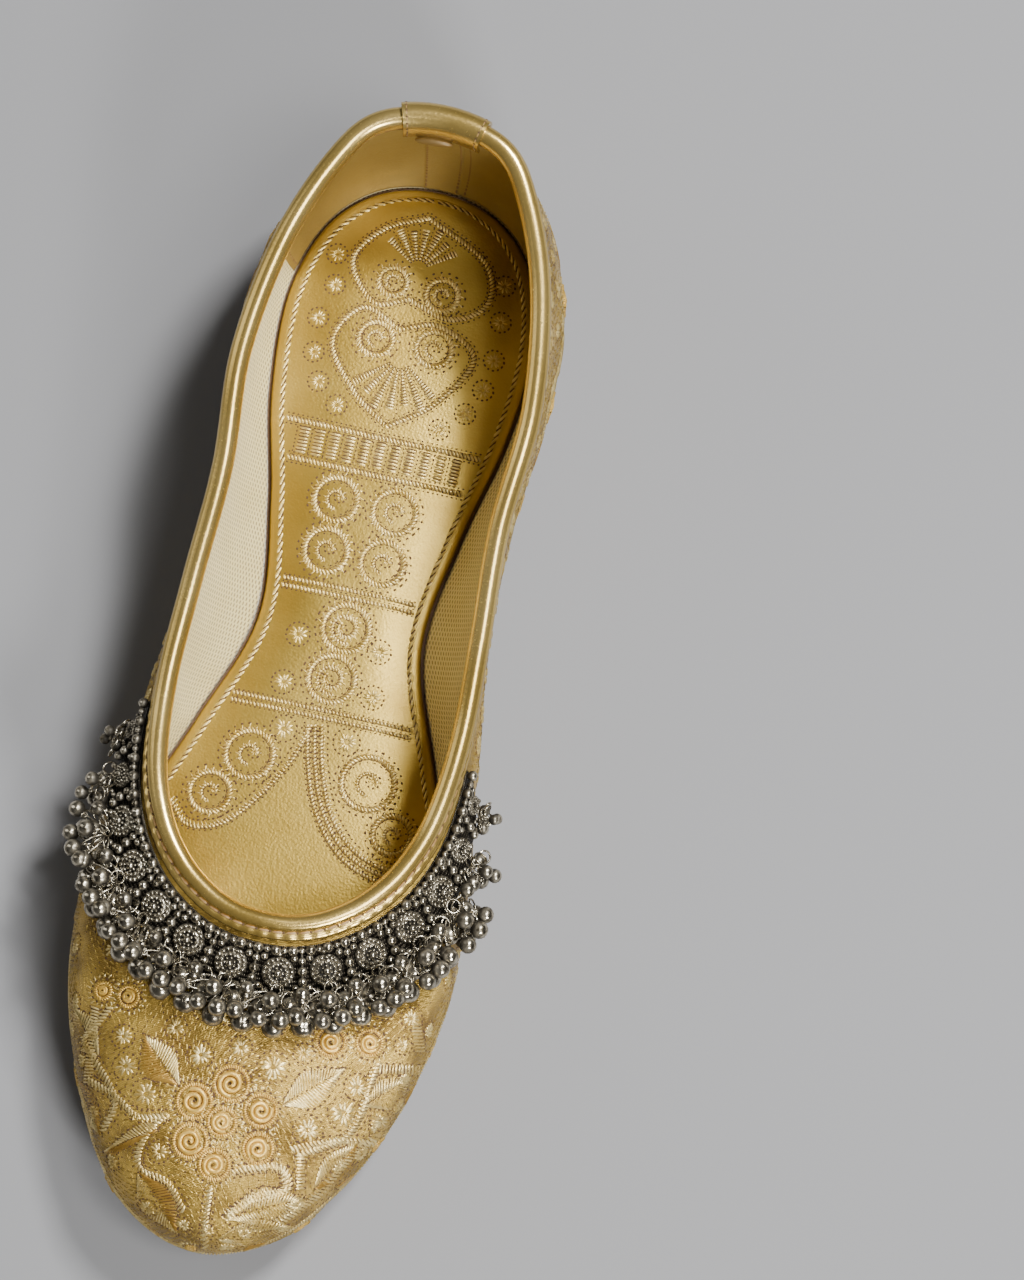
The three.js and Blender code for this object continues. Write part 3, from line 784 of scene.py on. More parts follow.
def leaf(work, shade_marks, base, tip, belly, other_belly, other_work=None, pitch=0.68):
    """Two satin halves from a middle vein, with dots of painted shade at needle holes along the vein and the
    edges.
    """
    base, tip = np.array(base, float), np.array(tip, float)
    middle = (base + tip) / 2
    belly, other_belly = middle + (np.array((belly, other_belly)) - middle) * LEAF_FULLNESS
    vein = curve(base, middle + (belly + other_belly - base - tip) / 6, tip)
    for side_belly, thread in ((belly, work), (other_belly, other_work or work)):
        edge = curve(base, side_belly, tip)
        satin(thread, vein, edge, pitch=pitch, slip=3)
        painted_shade(shade_marks, edge, size=0.6)
    painted_shade(shade_marks, vein, pitch=1.2, size=0.42)


def wheel(work, shade_marks, place, radius, start=0.1, inner=0.45):
    """A bold roped ring with fine hairs outside, and a hook and a seed flower within."""
    ring = coil(place, radius, start=start)
    rope(work, ring, width=1.55, pitch=0.8, height=0.6, filled=0.95)
    hairs(work, ring, turned=-1, length=1.4, pitch=1.5, width=0.34)
    painted_shade(shade_marks, ring, pitch=1.3, off=-1.6, size=0.56)
    painted_shade(shade_marks, ring, pitch=2.1, off=1.2, size=0.42)
    hook = coil(place, radius * inner, radius * inner * 0.75, start=start + 0.15, turns=0.7, steps=30)
    rope(work, hook, width=0.9, pitch=0.7, height=0.45, filled=0.95)
    hairs(work, hook, turned=-1, length=0.95, pitch=1.1, width=0.34)
    seed = place + radius * 0.22 * np.array((np.cos(TURN * start), -np.sin(TURN * start)))
    star(work, shade_marks, seed, radius * 0.24, rays=7)


def pointing(turn):
    """The flat direction at a share of a full turn."""
    return np.array((np.cos(TURN * turn), np.sin(TURN * turn)))


FAN_GAP = 0.13  # share of a ray's turn that is left free on each side of it


def fan(work, shade_marks, place, inner, outer, start, end, rays):
    """Satin rays that widen outwards from a middle, with dots of painted shade in the gap between them."""
    edges = np.linspace(start, end, rays + 1)
    gap = (edges[1] - edges[0]) * FAN_GAP
    for k in range(rays):
        first, second = pointing(edges[k] + gap), pointing(edges[k + 1] - gap)
        reach = outer * (0.92 + 0.08 * np.sin(k * 2.1))
        satin(work, np.array([place + first * inner, place + first * reach]),
              np.array([place + second * inner, place + second * reach]), height=0.36)
    for turn in edges[1:-1]:
        ray = pointing(turn)
        painted_shade(shade_marks, np.array([place + ray * inner, place + ray * outer]), pitch=1.0, size=0.4)


GROUND_SPACING = 1.6
GROUND_STITCH = 1.45


def ground_stitches(work, x_range, along_range, kept):
    """Small flat stitches in flowing rows that fill the ground between the motifs."""
    columns, rows = np.arange(*x_range, GROUND_SPACING), np.arange(*along_range, GROUND_SPACING * 0.8)
    x, along = np.meshgrid(columns, rows)
    x = x + (np.arange(len(x)) % 2)[:, None] * GROUND_SPACING / 2
    places = np.stack([x.ravel(), along.ravel()], -1)
    places = places[kept(places)]
    places += 0.3 * np.stack([wobble(len(places), 1), wobble(len(places), 2)], -1)
    flow = 0.9 * np.sin(places[:, 0] / 8.0) + 0.8 * np.cos(places[:, 1] / 9.5)
    turn = flow + 0.25 * wobble(len(places), 4)
    half = np.stack([np.cos(turn), np.sin(turn)], -1) * GROUND_STITCH / 2
    work.stitch(places - half, places + half, width=0.46, height=0.2)
    # Small dark marks of painted shade beside one stitch in three.
    prick_shade = places[::3] + half[::3] * 1.25
    work.shadow.stitch(prick_shade - half[::3] * 0.3, prick_shade + half[::3] * 0.3, width=0.4, height=0.09)


# Radius of a rose's cord, the turns of its heart, the width of its rim, and the radius from which it is full
ROSE_THREAD = 0.54
ROSE_TURNS = 2.0
ROSE_RIM = 0.95
FULL_ROSE = 3.7


def add_rose(hearts, petals, bright, shade_marks, place, radius):
    """A rose: a rim of short satin stitches round a heart of coiled cord, with a band of painted shadow under
    the heart, and hairs and dots of painted shade at needle holes outside.
    """
    rim = coil(place, radius - ROSE_RIM / 2)
    rope(petals, rim, width=ROSE_RIM, pitch=0.5, lean=0.35, height=0.55, filled=1.0)
    thread = ROSE_THREAD * min(1, radius / FULL_ROSE)
    reach = radius - ROSE_RIM - thread * 0.8
    heart = coil(place, reach, thread * 0.6, start=place[0] * 0.37, turns=ROSE_TURNS, steps=64)
    points, normals = petals.chart.lift(heart)
    rise = np.linspace(0.05, 0.6, len(heart))[:, None] * thread
    add_tube(hearts, points + normals * rise, normals, thread, sides=7)
    # A band of painted shadow under the heart's cord.
    petals.shadow_band(heart, thread * 3)
    painted_shade(shade_marks, coil(place, radius + 0.4), pitch=1.3, size=0.6)
    hairs(bright, coil(place, radius + 0.6), length=0.9, turned=-1, pitch=1.0)


def strew_stars(work, shade_marks, taken, x_range, y_range, kept, spacing, clearance, radius):
    """Seed flowers that fill the ground wherever it is clear of the other motifs."""
    for row, y in enumerate(np.arange(*y_range, spacing * 0.8)):
        for number, x in enumerate(np.arange(*x_range, spacing)):
            place = np.array((x + spacing / 2 * (row % 2), y)) + 0.9 * wobble(2, row * 7 + number)
            if kept(place) and np.linalg.norm(taken - place, axis=1).min() > clearance:
                star(work, shade_marks, place, radius * (1 + 0.2 * wobble(1, row + number * 3)[0]))


# Finishes

def thread_finish(name, deep, bright, roughness=0.34, metallic=0.6):
    """Silk or metallised thread: a tone that drifts from stitch to stitch, with fine strands."""
    finish = Finish(name, Specular_IOR_Level=0.6)
    place = finish.place()
    tone = finish.between(finish.noise(place, 0.35, detail=3), 0.3, 0.7)
    fine = finish.noise(place, 2.6, detail=2)
    thread = finish.mix(tone * 0.7 + fine * 0.3, deep, bright)
    finish.colour(finish.mix(finish.shade(), thread, (0.12, 0.06, 0.016)))
    finish.metal(metallic)
    finish.rough(roughness + fine * 0.18 - 0.09)
    finish.relief(finish.noise(place, 7.0, detail=1), 0.04)
    return finish


def brocade_finish():
    """Gold satin ground: a slanting twill with slubs, and a low woven figure that hardly differs from it."""
    finish = Finish("gold_brocade", Specular_IOR_Level=0.6, Sheen_Weight=0.06, Sheen_Roughness=0.35)
    cloth = finish.cloth()
    u, v = finish.across(cloth)
    warped = finish.noise(cloth, 0.13, detail=2, distortion=1.2)
    figure = finish.between(finish.math("ABSOLUTE", warped - 0.5), 0.03, 0.06)
    mottle = finish.between(finish.noise(cloth, 0.055, detail=4), 0.3, 0.7)
    slub = finish.noise(finish.stretched(cloth, (0.5, 4.0, 1)), 1.0, detail=2)
    fine = finish.noise(cloth, 3.4, detail=2)
    twill = finish.rib(u + v, 0.62)
    weft = finish.rib(v, 0.41)
    deep, bright = (0.15, 0.083, 0.009), (0.62, 0.405, 0.076)
    tone = finish.mix(finish.between(mottle * 0.4 + slub * 0.35 + fine * 0.25, 0.3, 0.7), deep, bright)
    colour = finish.mix(figure * 0.3, tone, (0.38, 0.24, 0.045))
    finish.colour(finish.mix(finish.shade(), colour, (0.16, 0.085, 0.025)))
    finish.metal(0.65)
    finish.rough(0.40 - slub * 0.12 + fine * 0.1)
    finish.relief(weft * 0.22 + twill * 0.3 + slub * 0.7 - figure * 0.8 + fine * 0.6, 0.11)
    return finish


def gold_leather_finish(name, deep, bright, metallic=0.55, roughness=0.3, grain_depth=0.03):
    """Metallised leather with a soft fine grain, darker where shade is high, which is painted shade on the
    insole's edge and on the binding's tuck.
    """
    finish = Finish(name, Coat_Weight=0.1, Coat_Roughness=0.2)
    place = finish.place()
    grain = finish.node("ShaderNodeTexVoronoi", {"feature": "SMOOTH_F1"}, {
        "Vector": place, "Scale": 1.7, "Smoothness": 0.6})
    cloud = finish.noise(place, 0.035, detail=5)
    speck = finish.noise(place, 1.8, detail=3)
    tone = finish.mix(finish.between(cloud, 0.3, 0.7), deep, bright)
    # Shade mixes in painted shade, towards dark brown.
    finish.colour(finish.mix(finish.shade() * 0.8, tone, (0.13, 0.065, 0.018)))
    finish.metal(metallic)
    finish.rough(roughness + speck * 0.16 - 0.08)
    finish.relief(grain * -1.0 + speck * 0.6 + cloud * 2, grain_depth)
    return finish


def mesh_lining_finish():
    """Cream spacer mesh: slanting rows of small lens-shaped cells."""
    finish = Finish("mesh_lining", Sheen_Weight=0.3, Sheen_Roughness=0.5)
    u, v = finish.across(finish.cloth())
    cell_length, cell_height = 1.9, 1.05
    row = finish.rib(u, cell_length)
    between_rows = finish.rib(v, cell_height)
    cell = row * between_rows
    hole = finish.between(cell, 0.1, 0.6)
    knit = finish.rib(u + v * 0.6, 0.42)
    cloud = finish.noise(finish.place(), 0.12, detail=3)
    thread = finish.mix(cloud, (0.72, 0.58, 0.22), (0.88, 0.745, 0.34))
    finish.colour(finish.mix(hole * 0.85 + finish.shade() * 0.15, thread, (0.27, 0.19, 0.06)))
    finish.metal(0.05)
    finish.rough(0.62 + hole * 0.2)
    finish.relief(knit * 0.12 - hole * 1.0, 0.2)
    return finish


def sole_leather_finish():
    """Vegetable-tanned sole leather: mottled, with pores, and darker burnished edges where shade is high."""
    finish = Finish("sole_leather")
    place = finish.place()
    cloud = finish.noise(place, 0.05, detail=5, distortion=0.4)
    fibre = finish.noise(finish.stretched(place, (1.6, 0.5, 1.6)), 0.6, detail=4)
    pore = finish.node("ShaderNodeTexVoronoi", {"feature": "F1"}, {"Vector": place, "Scale": 1.1})
    mottle = finish.between(cloud, 0.3, 0.7) * 0.7 + fibre * 0.3
    tone = finish.mix(mottle, (0.20, 0.105, 0.045), (0.36, 0.215, 0.105))
    finish.colour(finish.mix(finish.shade(), tone, (0.085, 0.035, 0.014)))
    finish.rough(0.62 - finish.shade() * 0.25 + fibre * 0.14)
    finish.relief(pore * 0.8 + fibre * 1.2, 0.07)
    return finish


def silver_finish():
    """Oxidised silver: bright where it is rubbed, black where shade is high, which is tarnish in the recesses of
    the plates and painted shade on the balls and the chain's wire.
    """
    finish = Finish("oxidised_silver")
    place = finish.place()
    tarnish = finish.between(finish.noise(place, 0.8, detail=4), 0.35, 0.7)
    speck = finish.noise(place, 4.0, detail=2)
    bright = finish.mix(tarnish, (0.64, 0.575, 0.44), (0.11, 0.092, 0.06))
    # Shade darkens the colour and lowers the metal: patina in recesses, and elsewhere painted shade with its
    # reflection dulled.
    finish.colour(finish.mix(finish.shade(), bright, (0.014, 0.011, 0.007)))
    finish.metal(1.0 - finish.shade() * 0.5)
    finish.rough(0.15 + tarnish * 0.12 + finish.shade() * 0.36)
    finish.relief(speck, 0.02)
    return finish


def tarnished_braid_finish():
    """Almost black metal braid, with worn crowns on its slanting cords."""
    finish = Finish("tarnished_braid")
    u, v = finish.across(finish.cloth())
    cords = finish.rib(u + v * 0.5, 0.9) * finish.rib(u - v * 0.5, 0.9)
    worn = finish.between(cords + finish.noise(finish.place(), 0.9, detail=3), 0.75, 1.5)
    finish.colour(finish.mix(worn, (0.016, 0.013, 0.009), (0.17, 0.145, 0.105)))
    finish.metal(0.85)
    finish.rough(0.5 - worn * 0.2)
    finish.relief(cords, 0.14)
    return finish


def floor_finish():
    finish = Finish("studio_floor", Roughness=0.75, Specular_IOR_Level=0.2)
    cloud = finish.noise(finish.place(), 0.002, detail=2)
    finish.colour(finish.mix(cloud, (0.21, 0.21, 0.215), (0.26, 0.26, 0.265)))
    return finish


brocade = brocade_finish()
champagne_silk = thread_finish(
    "champagne_silk", (0.66, 0.44, 0.10), (1.0, 0.81, 0.36), roughness=0.3, metallic=0.7)
antique_silk = thread_finish("antique_gold_silk", (0.36, 0.19, 0.024), (0.58, 0.35, 0.070))
ground_silk = thread_finish(
    "ground_gold_silk", (0.28, 0.17, 0.025), (0.68, 0.475, 0.12), roughness=0.29, metallic=0.75)
rose_silk = thread_finish("peach_gold_silk", (0.62, 0.37, 0.055), (0.86, 0.56, 0.125), metallic=0.5)
insole_silk = thread_finish(
    "insole_thread", (0.56, 0.385, 0.075), (0.96, 0.755, 0.29), roughness=0.33, metallic=0.7)
# Near-black thread that paints shade: dots at needle holes, shadow bands and the sole's channel.
shade_thread = thread_finish(
    "painted_shade", (0.045, 0.019, 0.005), (0.085, 0.038, 0.010), roughness=0.8, metallic=0)
seam_thread = thread_finish(
    "seam_thread", (0.22, 0.115, 0.035), (0.36, 0.22, 0.085), roughness=0.5, metallic=0.1)
binding_leather = gold_leather_finish(
    "gold_binding_leather", (0.48, 0.32, 0.075), (0.70, 0.505, 0.165),
    metallic=0.86, roughness=0.24, grain_depth=0.008)
insole_leather = gold_leather_finish(
    "gold_insole_leather", (0.41, 0.262, 0.036), (0.59, 0.405, 0.080),
    metallic=0.82, roughness=0.37, grain_depth=0.035)
grip_leather = gold_leather_finish(
    "pale_gold_heel_grip", (0.26, 0.17, 0.042), (0.36, 0.25, 0.074),
    metallic=0.3, roughness=0.42)
mesh_lining = mesh_lining_finish()
sole_leather = sole_leather_finish()
oxidised_silver = silver_finish()
tarnished_braid = tarnished_braid_finish()


# Floor and studio light

FLOOR_REACH = 3.0
SOFTBOX_AIM = Vector((0, -0.09, 0.02))


def add_floor():
    mesh = bpy.data.meshes.new("studio_floor")
    corners = [(x * FLOOR_REACH, y * FLOOR_REACH, 0) for x, y in ((-1, -1), (1, -1), (1, 1), (-1, 1))]
    mesh.from_pydata(corners, [], [(0, 1, 2, 3)])
    mesh.materials.append(floor_finish().material)
    floor = bpy.data.objects.new("studio_floor", mesh)
    bpy.context.scene.collection.objects.link(floor)


def add_softbox(name, place, size, power):
    light = bpy.data.lights.new(name, "AREA")
    light.shape = "RECTANGLE"
    light.size, light.size_y = size
    light.energy = power
    box = bpy.data.objects.new(name, light)
    box.location = place
    box.rotation_euler = (SOFTBOX_AIM - Vector(place)).to_track_quat("-Z", "Y").to_euler()
    bpy.context.scene.collection.objects.link(box)


def add_world(strength):
    world = bpy.data.worlds.new("studio")
    world.use_nodes = True
    world.node_tree.nodes["Background"].inputs["Color"].default_value = (1, 1, 1, 1)
    world.node_tree.nodes["Background"].inputs["Strength"].default_value = strength
    bpy.context.scene.world = world


add_floor()
add_world(0.085)
add_softbox("key_softbox", (0.34, 0.40, 0.95), (0.20, 0.20), 19)
add_softbox("sheen_softbox", (0.36, -0.20, 1.0), (0.26, 0.34), 5.5)
add_softbox("left_softbox", (-0.9, 0.05, 0.5), (0.4, 0.8), 1.6)
add_softbox("toe_softbox", (0.48, -0.70, 0.62), (0.22, 0.2), 9)


# Upper: brocade outside, lining and heel grip inside, each a closed skin

BROCADE_SHARE = 0.55  # share of the wall that is brocade and stiffener
SKIN_STEP = 5  # the hidden side of a skin keeps one column of points in five
SKIN_GAP = 0.05
LINING_ROUND = 600  # length of the lining's cloth round the whole shoe


def wall_skin(shown, depth):
    """Closed skin between the shown points and a hidden side that lies a depth inside the outer surface."""
    hidden = outer_points - outer_normals * depth
    for face in (shown, hidden):
        face[:, 0, 2] = outer_points[:, 0, 2]
    return there_and_back(shown, hidden, SKIN_STEP)


def add_wall_skin(mould, ring, flat, turned=False):
    faces = grid_faces(UPPER_LOOPS, ring.shape[1], rows_close=True, columns_close=True)
    mould.add(ring, faces[:, ::-1] if turned else faces, there_and_back(flat, flat, SKIN_STEP))


def add_brocade():
    mould = Mould()
    ring = wall_skin(brocade_points, WALL * BROCADE_SHARE)
    add_wall_skin(mould, ring, unfolded(outer_points, outer_normals))
    mould.cast("brocade_upper", brocade, "brocade", replaced=("upper",))


# Folds of the lining, which hangs a little loose at the sides: along, width and depth, deeper to the hem
LINING_FOLDS = ((118, 5.0, 0.40), (131, 4.0, 0.55), (143, 4.5, 0.45), (156, 5.5, 0.35), (96, 6.0, 0.25))


def lining_folds(points):
    along = HEEL_CENTRE - points[..., 1] + 0.35 * (points[..., 2] - 20)
    depth = sum(deep * np.exp(-((along - place) / wide) ** 2 * 2) for place, wide, deep in LINING_FOLDS)
    return depth * smooth((np.abs(points[..., 0]) - 15) / 10)


def add_lining():
    mould = Mould()
    folds = lining_folds(outer_points) * hem_ease
    shown = outer_points - outer_normals * (WALL + folds)[..., None]
    ring = wall_skin(shown, WALL * BROCADE_SHARE + SKIN_GAP)
    heights = outer_points[..., 2]
    turns = np.broadcast_to(loops[:, None] * LINING_ROUND, heights.shape)
    add_wall_skin(mould, ring, np.stack([turns, heights], -1), turned=True)
    mould.cast("mesh_lining", mesh_lining, "brocade")


add_brocade()
add_lining()


# Binding

def swept(loop_places, out, up):
    """Points of a section, given by its out and up, at each place round the collar."""
    return beside_collar(*np.broadcast_arrays(loop_places[:, None], out, up))


def arc_over(radius, steps):
    """Section of the rolled edge: half a circle over the middle of the wall."""
    angle = np.linspace(0, np.pi, steps)
    return [(radius * np.cos(a) - WALL / 2, radius * np.sin(a)) for a in angle]


BINDING_STITCH = 2.9
BINDING_ROWS_PER_STITCH = 6
BINDING_ARC = 13
PUCKER = 0.16
SEAM_LINE = 1.35
COLLAR_SAMPLES = 3001


def collar_rows(per_stitch):
    """Loop places at an even pitch along the collar, with a whole number of rows to a stitch."""
    loop = np.linspace(0, 1, COLLAR_SAMPLES)
    lengths = lengths_along(below_collar(loop, SEAM_LINE)[0])
    rows = int(round(lengths[-1] / BINDING_STITCH)) * per_stitch
    return np.interp(np.arange(rows) / rows * lengths[-1], lengths, loop)


# Section of the binding: out of the brocade, up from the collar's edge, and the share of the puckers it takes
BINDING_OUTSIDE = (
    (0.0, -BINDING_OUTER_LIP, 0.0),
    (0.4, -BINDING_OUTER_LIP - 0.05, 0.3),
    (0.62, -BINDING_OUTER_LIP + 0.3, 1.0),
    (0.66, -2.2, 1.0),
    (0.5, -1.75, 0.8),
    (0.26, -1.45, 0.5),
    (0.24, -1.2, 0.5),
    (0.52, -0.85, 1.0),
    (0.82, -0.4, 0.3),
)
BINDING_INSIDE = (
    (0.84, -0.6, 0.0),
    (0.70, -2.2, 0.4),
    (0.42, -2.75, 0.8),
    (0.40, -3.05, 0.8),
    (0.66, -3.5, 0.8),
    (0.5, -BINDING_INNER_LIP, 0.3),
    (0.0, -BINDING_INNER_LIP, 0.0),
)


def add_binding():
    roll = WALL / 2 + GAP + BINDING_SKIN
    section = [(GAP + out, up) for out, up, _ in BINDING_OUTSIDE] + arc_over(roll, BINDING_ARC)
    section += [(-WALL - GAP - out, up) for out, up, _ in BINDING_INSIDE]
    section += [(-WALL - GAP, GAP), (GAP, GAP)]
    puckered = np.zeros(len(section))
    puckered[:len(BINDING_OUTSIDE)] = [share for _, _, share in BINDING_OUTSIDE]
    inside = len(BINDING_OUTSIDE) + BINDING_ARC
    puckered[inside:inside + len(BINDING_INSIDE)] = [-share for _, _, share in BINDING_INSIDE]
    places = collar_rows(BINDING_ROWS_PER_STITCH)
    wave = np.cos(TURN * np.arange(len(places)) / BINDING_ROWS_PER_STITCH)
    out, up = np.array(section).T
    out = out - PUCKER * puckered * (0.5 + 0.5 * wave[:, None])
    mould = Mould()
    faces = grid_faces(len(places), len(section), rows_close=True, columns_close=True)
    mould.add(swept(places, out, up), faces)
    mould.cast("rolled_binding", binding_leather, "gold_leather", replaced=("binding",))


add_binding()


# Insole, outsole and heel lift: slabs with the outline of the upper's foot

SLAB_LOOPS = 360
SLAB_STRIPS = 24  # points across the top and the bottom
CROWNED_WIDTH = 30  # a slab narrower than this has a lower crown


def foot_outline(out):
    loop = np.arange(SLAB_LOOPS) / SLAB_LOOPS
    return line_of("foot", loop)[:, :2] + level_outward("foot", loop)[:, :2] * out


def slab(mould, layers, crown=0.0):
    """Stacked outlines from bottom to top, each (out, height function, shade), closed by strips across."""
    rings = []
    shades = []
    for out, height, shade in layers:
        outline = foot_outline(out)
        along = HEEL_CENTRE - outline[:, 1]
        rings.append(np.column_stack([outline, height(along)]))
        shades.append(np.full(SLAB_LOOPS, shade))
    mould.add(np.array(rings), grid_faces(len(rings), SLAB_LOOPS, columns_close=True), shade=np.array(shades))
    half = SLAB_LOOPS // 2
    for ring, shade, upper_side in ((rings[0], shades[0], False), (rings[-1], shades[-1], True)):
        near = ring[:half + 1]
        far = ring[(-np.arange(half + 1)) % SLAB_LOOPS]
        share = np.linspace(0, 1, SLAB_STRIPS)[None, :, None]
        strip = near[:, None] * (1 - share) + far[:, None] * share
        if upper_side and crown:
            width = np.linalg.norm(near - far, axis=1)[:, None]
            bulge = 4 * share[..., 0] * (1 - share[..., 0]) * np.minimum(1, width / CROWNED_WIDTH)
            strip[..., 2] += crown * smooth(bulge)
        faces = grid_faces(half + 1, SLAB_STRIPS)
        mould.add(strip, faces if upper_side else faces[:, ::-1], shade=np.full(strip.shape[:2], shade[0]))
    return strip


def above_sole(height):
    return lambda along: sole_top(along) + GAP + height


def add_outsole():
    mould = Mould()
    edge = 0.85
    slab(mould, [
        (SOLE_MARGIN - 2.2, sole_bottom, 0.0),
        (SOLE_MARGIN - 0.7, sole_bottom, 0.25),
        (SOLE_MARGIN - 0.2, lambda along: sole_bottom(along) + 0.25, edge),
        (SOLE_MARGIN, lambda along: sole_bottom(along) + 0.8, edge),
        (SOLE_MARGIN, lambda along: sole_top(along) - 0.8, edge),
        (SOLE_MARGIN - 0.2, lambda along: sole_top(along) - 0.2, edge),
        (SOLE_MARGIN - 0.7, sole_top, 0.4),
        (SOLE_MARGIN - 3, sole_top, 0.2),
    ])
    mould.cast("leather_outsole", sole_leather, "sole_leather", replaced=("outsole",))


INSOLE_SEAM = 0.18
INSOLE_CROWN = 1.4


def add_insole():
    edge = -WALL - INSOLE_SEAM
    mould = Mould()
    top = slab(mould, [
        # The edge rows carry painted shade, darkest at the foot of the edge beside the lining.
        (edge - 0.4, above_sole(0.0), 0.4),
        (edge, above_sole(0.3), 0.3),
        (edge, above_sole(0.9), 0.2),
        (edge - 0.3, above_sole(1.35), 0.1),
        (edge - 0.8, above_sole(1.6), 0.0),
        (edge - 1.6, above_sole(1.7), 0.0),
    ], crown=INSOLE_CROWN)
    insole = mould.cast("padded_insole", insole_leather, "insole_leather", replaced=("insole",))
    normals = unit(np.cross(np.gradient(top, axis=1), np.gradient(top, axis=0)))
    normals *= np.sign(normals[..., 2:3])
    flat = np.stack([top[..., 0], HEEL_CENTRE - top[..., 1]], -1)
    return Chart(top, normals, flat, grid_faces(*top.shape[:2]))


add_outsole()
insole_chart = add_insole()


# Heel patch, heel grip and the seams at the collar

HEEL_SPAN = 0.1
HEEL_SAMPLES = 400


def heel_loops(reach):
    """Loop places that lie the given lengths of collar from the heel's middle, positive towards +X."""
    loop = np.linspace(0, HEEL_SPAN, HEEL_SAMPLES)
    return np.sign(reach) * np.interp(np.abs(reach), lengths_along(surface(loop, 1.0)), loop)


def add_seam(mould, dots, normals, width, height, filled=0.72, shade=0.0):
    """Running stitches between dots, each over a share of its pitch."""
    starts = dots[:-1]
    ends = dots[:-1] + (dots[1:] - dots[:-1]) * filled
    add_stitches(mould, starts, ends, normals[:-1], width, height, shade)


def add_hole_shade(mould, dots, normals, length, width, height):
    """A dark dot of painted shade at the needle hole of each dot, which reaches back by its length."""
    ahead = unit(np.roll(dots, -1, axis=0) - dots)
    add_stitches(mould, dots - ahead * length, dots + ahead * 0.1, normals, width, height)


# Points over the patch's rounded top, outside and inside, and the points of its section where the seams begin
PATCH_COLUMNS = 40
PATCH_ARC, PATCH_INNER_ARC = 15, 9
PATCH_SEAM_COLUMNS = (2, -3)
PATCH_DEPTH, PATCH_INNER_DEPTH = 3.4, 6.1


def add_heel_patch():
    clearance = GAP + BINDING_SKIN + GAP
    face = clearance + TAB_SKIN
    section = [(clearance, -PATCH_DEPTH), (clearance + 0.4, -PATCH_DEPTH),
               (face, -PATCH_DEPTH + 0.4), (face, -0.6)]
    section += arc_over(WALL / 2 + face, PATCH_ARC)
    section += [(-WALL - face, -PATCH_INNER_DEPTH + 0.5), (-WALL - clearance - 0.4, -PATCH_INNER_DEPTH),
                (-WALL - clearance, -PATCH_INNER_DEPTH)]
    section += arc_over(WALL / 2 + clearance, PATCH_INNER_ARC)[::-1]
    places = heel_loops(np.linspace(-TAB_LENGTH / 2, TAB_LENGTH / 2, PATCH_COLUMNS))
    points = swept(places, *np.array(section).T)
    mould = Mould()
    mould.add(points, grid_faces(len(places), len(section), columns_close=True))
    for end in (0, -1):
        mould.add(points[end], [list(range(len(section)))])
    mould.cast("heel_patch", binding_leather, "gold_leather", replaced=("heel_tab",))
    seams, shade_marks = Mould(), Mould()
    for column_number in PATCH_SEAM_COLUMNS:
        skin = points[column_number, :len(section) - PATCH_INNER_ARC]
        dots = evenly(skin[1:-1], 1.6)
        normals = unit(dots - points[column_number].mean(0))
        add_seam(seams, dots, normals, width=0.5, height=0.2)
        add_hole_shade(shade_marks, dots, normals, length=0.3, width=0.55, height=0.1)
    seams.cast("heel_patch_seams", seam_thread, "gold_leather")
    # Dark dots of painted shade at the needle holes.
    shade_marks.cast("heel_patch_hole_shade", shade_thread, "gold_leather")


# The binding's folded end, seen inside below the patch, in leather darkened by painted shade: where it starts
# and ends along the collar, its middle below the collar's edge, half its height, how far its middle stands off
# the lining and half its thickness
TUCK_REACH = (-6.6, 3.0)
TUCK_DEPTH = 6.2
TUCK_HALF_HEIGHT = 1.3
TUCK_PROUD = 2.7
TUCK_HALF_SKIN = 1.1


def add_binding_tuck():
    reach = np.linspace(*TUCK_REACH, 60)
    fullness = np.sqrt(1 - np.linspace(-1, 1, len(reach)) ** 2)[:, None]
    angle = np.linspace(0, TURN, 12, endpoint=False)
    out = -WALL - TUCK_PROUD + TUCK_HALF_SKIN * np.cos(angle) * fullness
    up = -TUCK_DEPTH + TUCK_HALF_HEIGHT * np.sin(angle) * fullness
    mould = Mould()
    # Shade 0.7 paints the fold dark with painted shade.
    mould.add(swept(heel_loops(reach), out, up), grid_faces(*out.shape, columns_close=True), shade=0.7)
    mould.cast("binding_tuck", grip_leather, "gold_leather")


# Heel grip: the loop place that it reaches on both sides, the rises of its foot and its top, its thickness
GRIP_REACH = 0.105
GRIP_RISES = (0.02, 0.985)
GRIP_SKIN = 0.3
GRIP_SEAM_INSET = 0.003
GRIP_SEAM_RISES = (0.99, 0.04)
GRIP_SEAM_SAMPLES = 200
# Strip over the grip's back: half its width along the collar, and its thickness
BACK_STRIP_HALF = 4.6
BACK_STRIP_SKIN = 0.55


def lining_strip(mould, loop_places, rise_places, skin):
    """A thin closed skin on the lining over the given loops and rises, thinner at its two side edges."""
    loop_grid, rise_grid = np.meshgrid(loop_places, rise_places, indexing="ij")
    base = surface(loop_grid, rise_grid)
    normals = outward(loop_grid, rise_grid)
    number = np.arange(len(loop_places))
    from_edge = np.minimum(smooth(number / 2), smooth(number[::-1] / 2))
    rounded = skin * np.minimum(1, 0.25 + 0.75 * from_edge)[:, None, None]
    ring = there_and_back(base - normals * WALL, base - normals * (WALL + rounded))
    flat = np.stack([loop_grid * LINING_ROUND, base[..., 2]], -1)
    faces = grid_faces(len(loop_places), ring.shape[1], columns_close=True)
    mould.add(ring, faces, there_and_back(flat, flat))


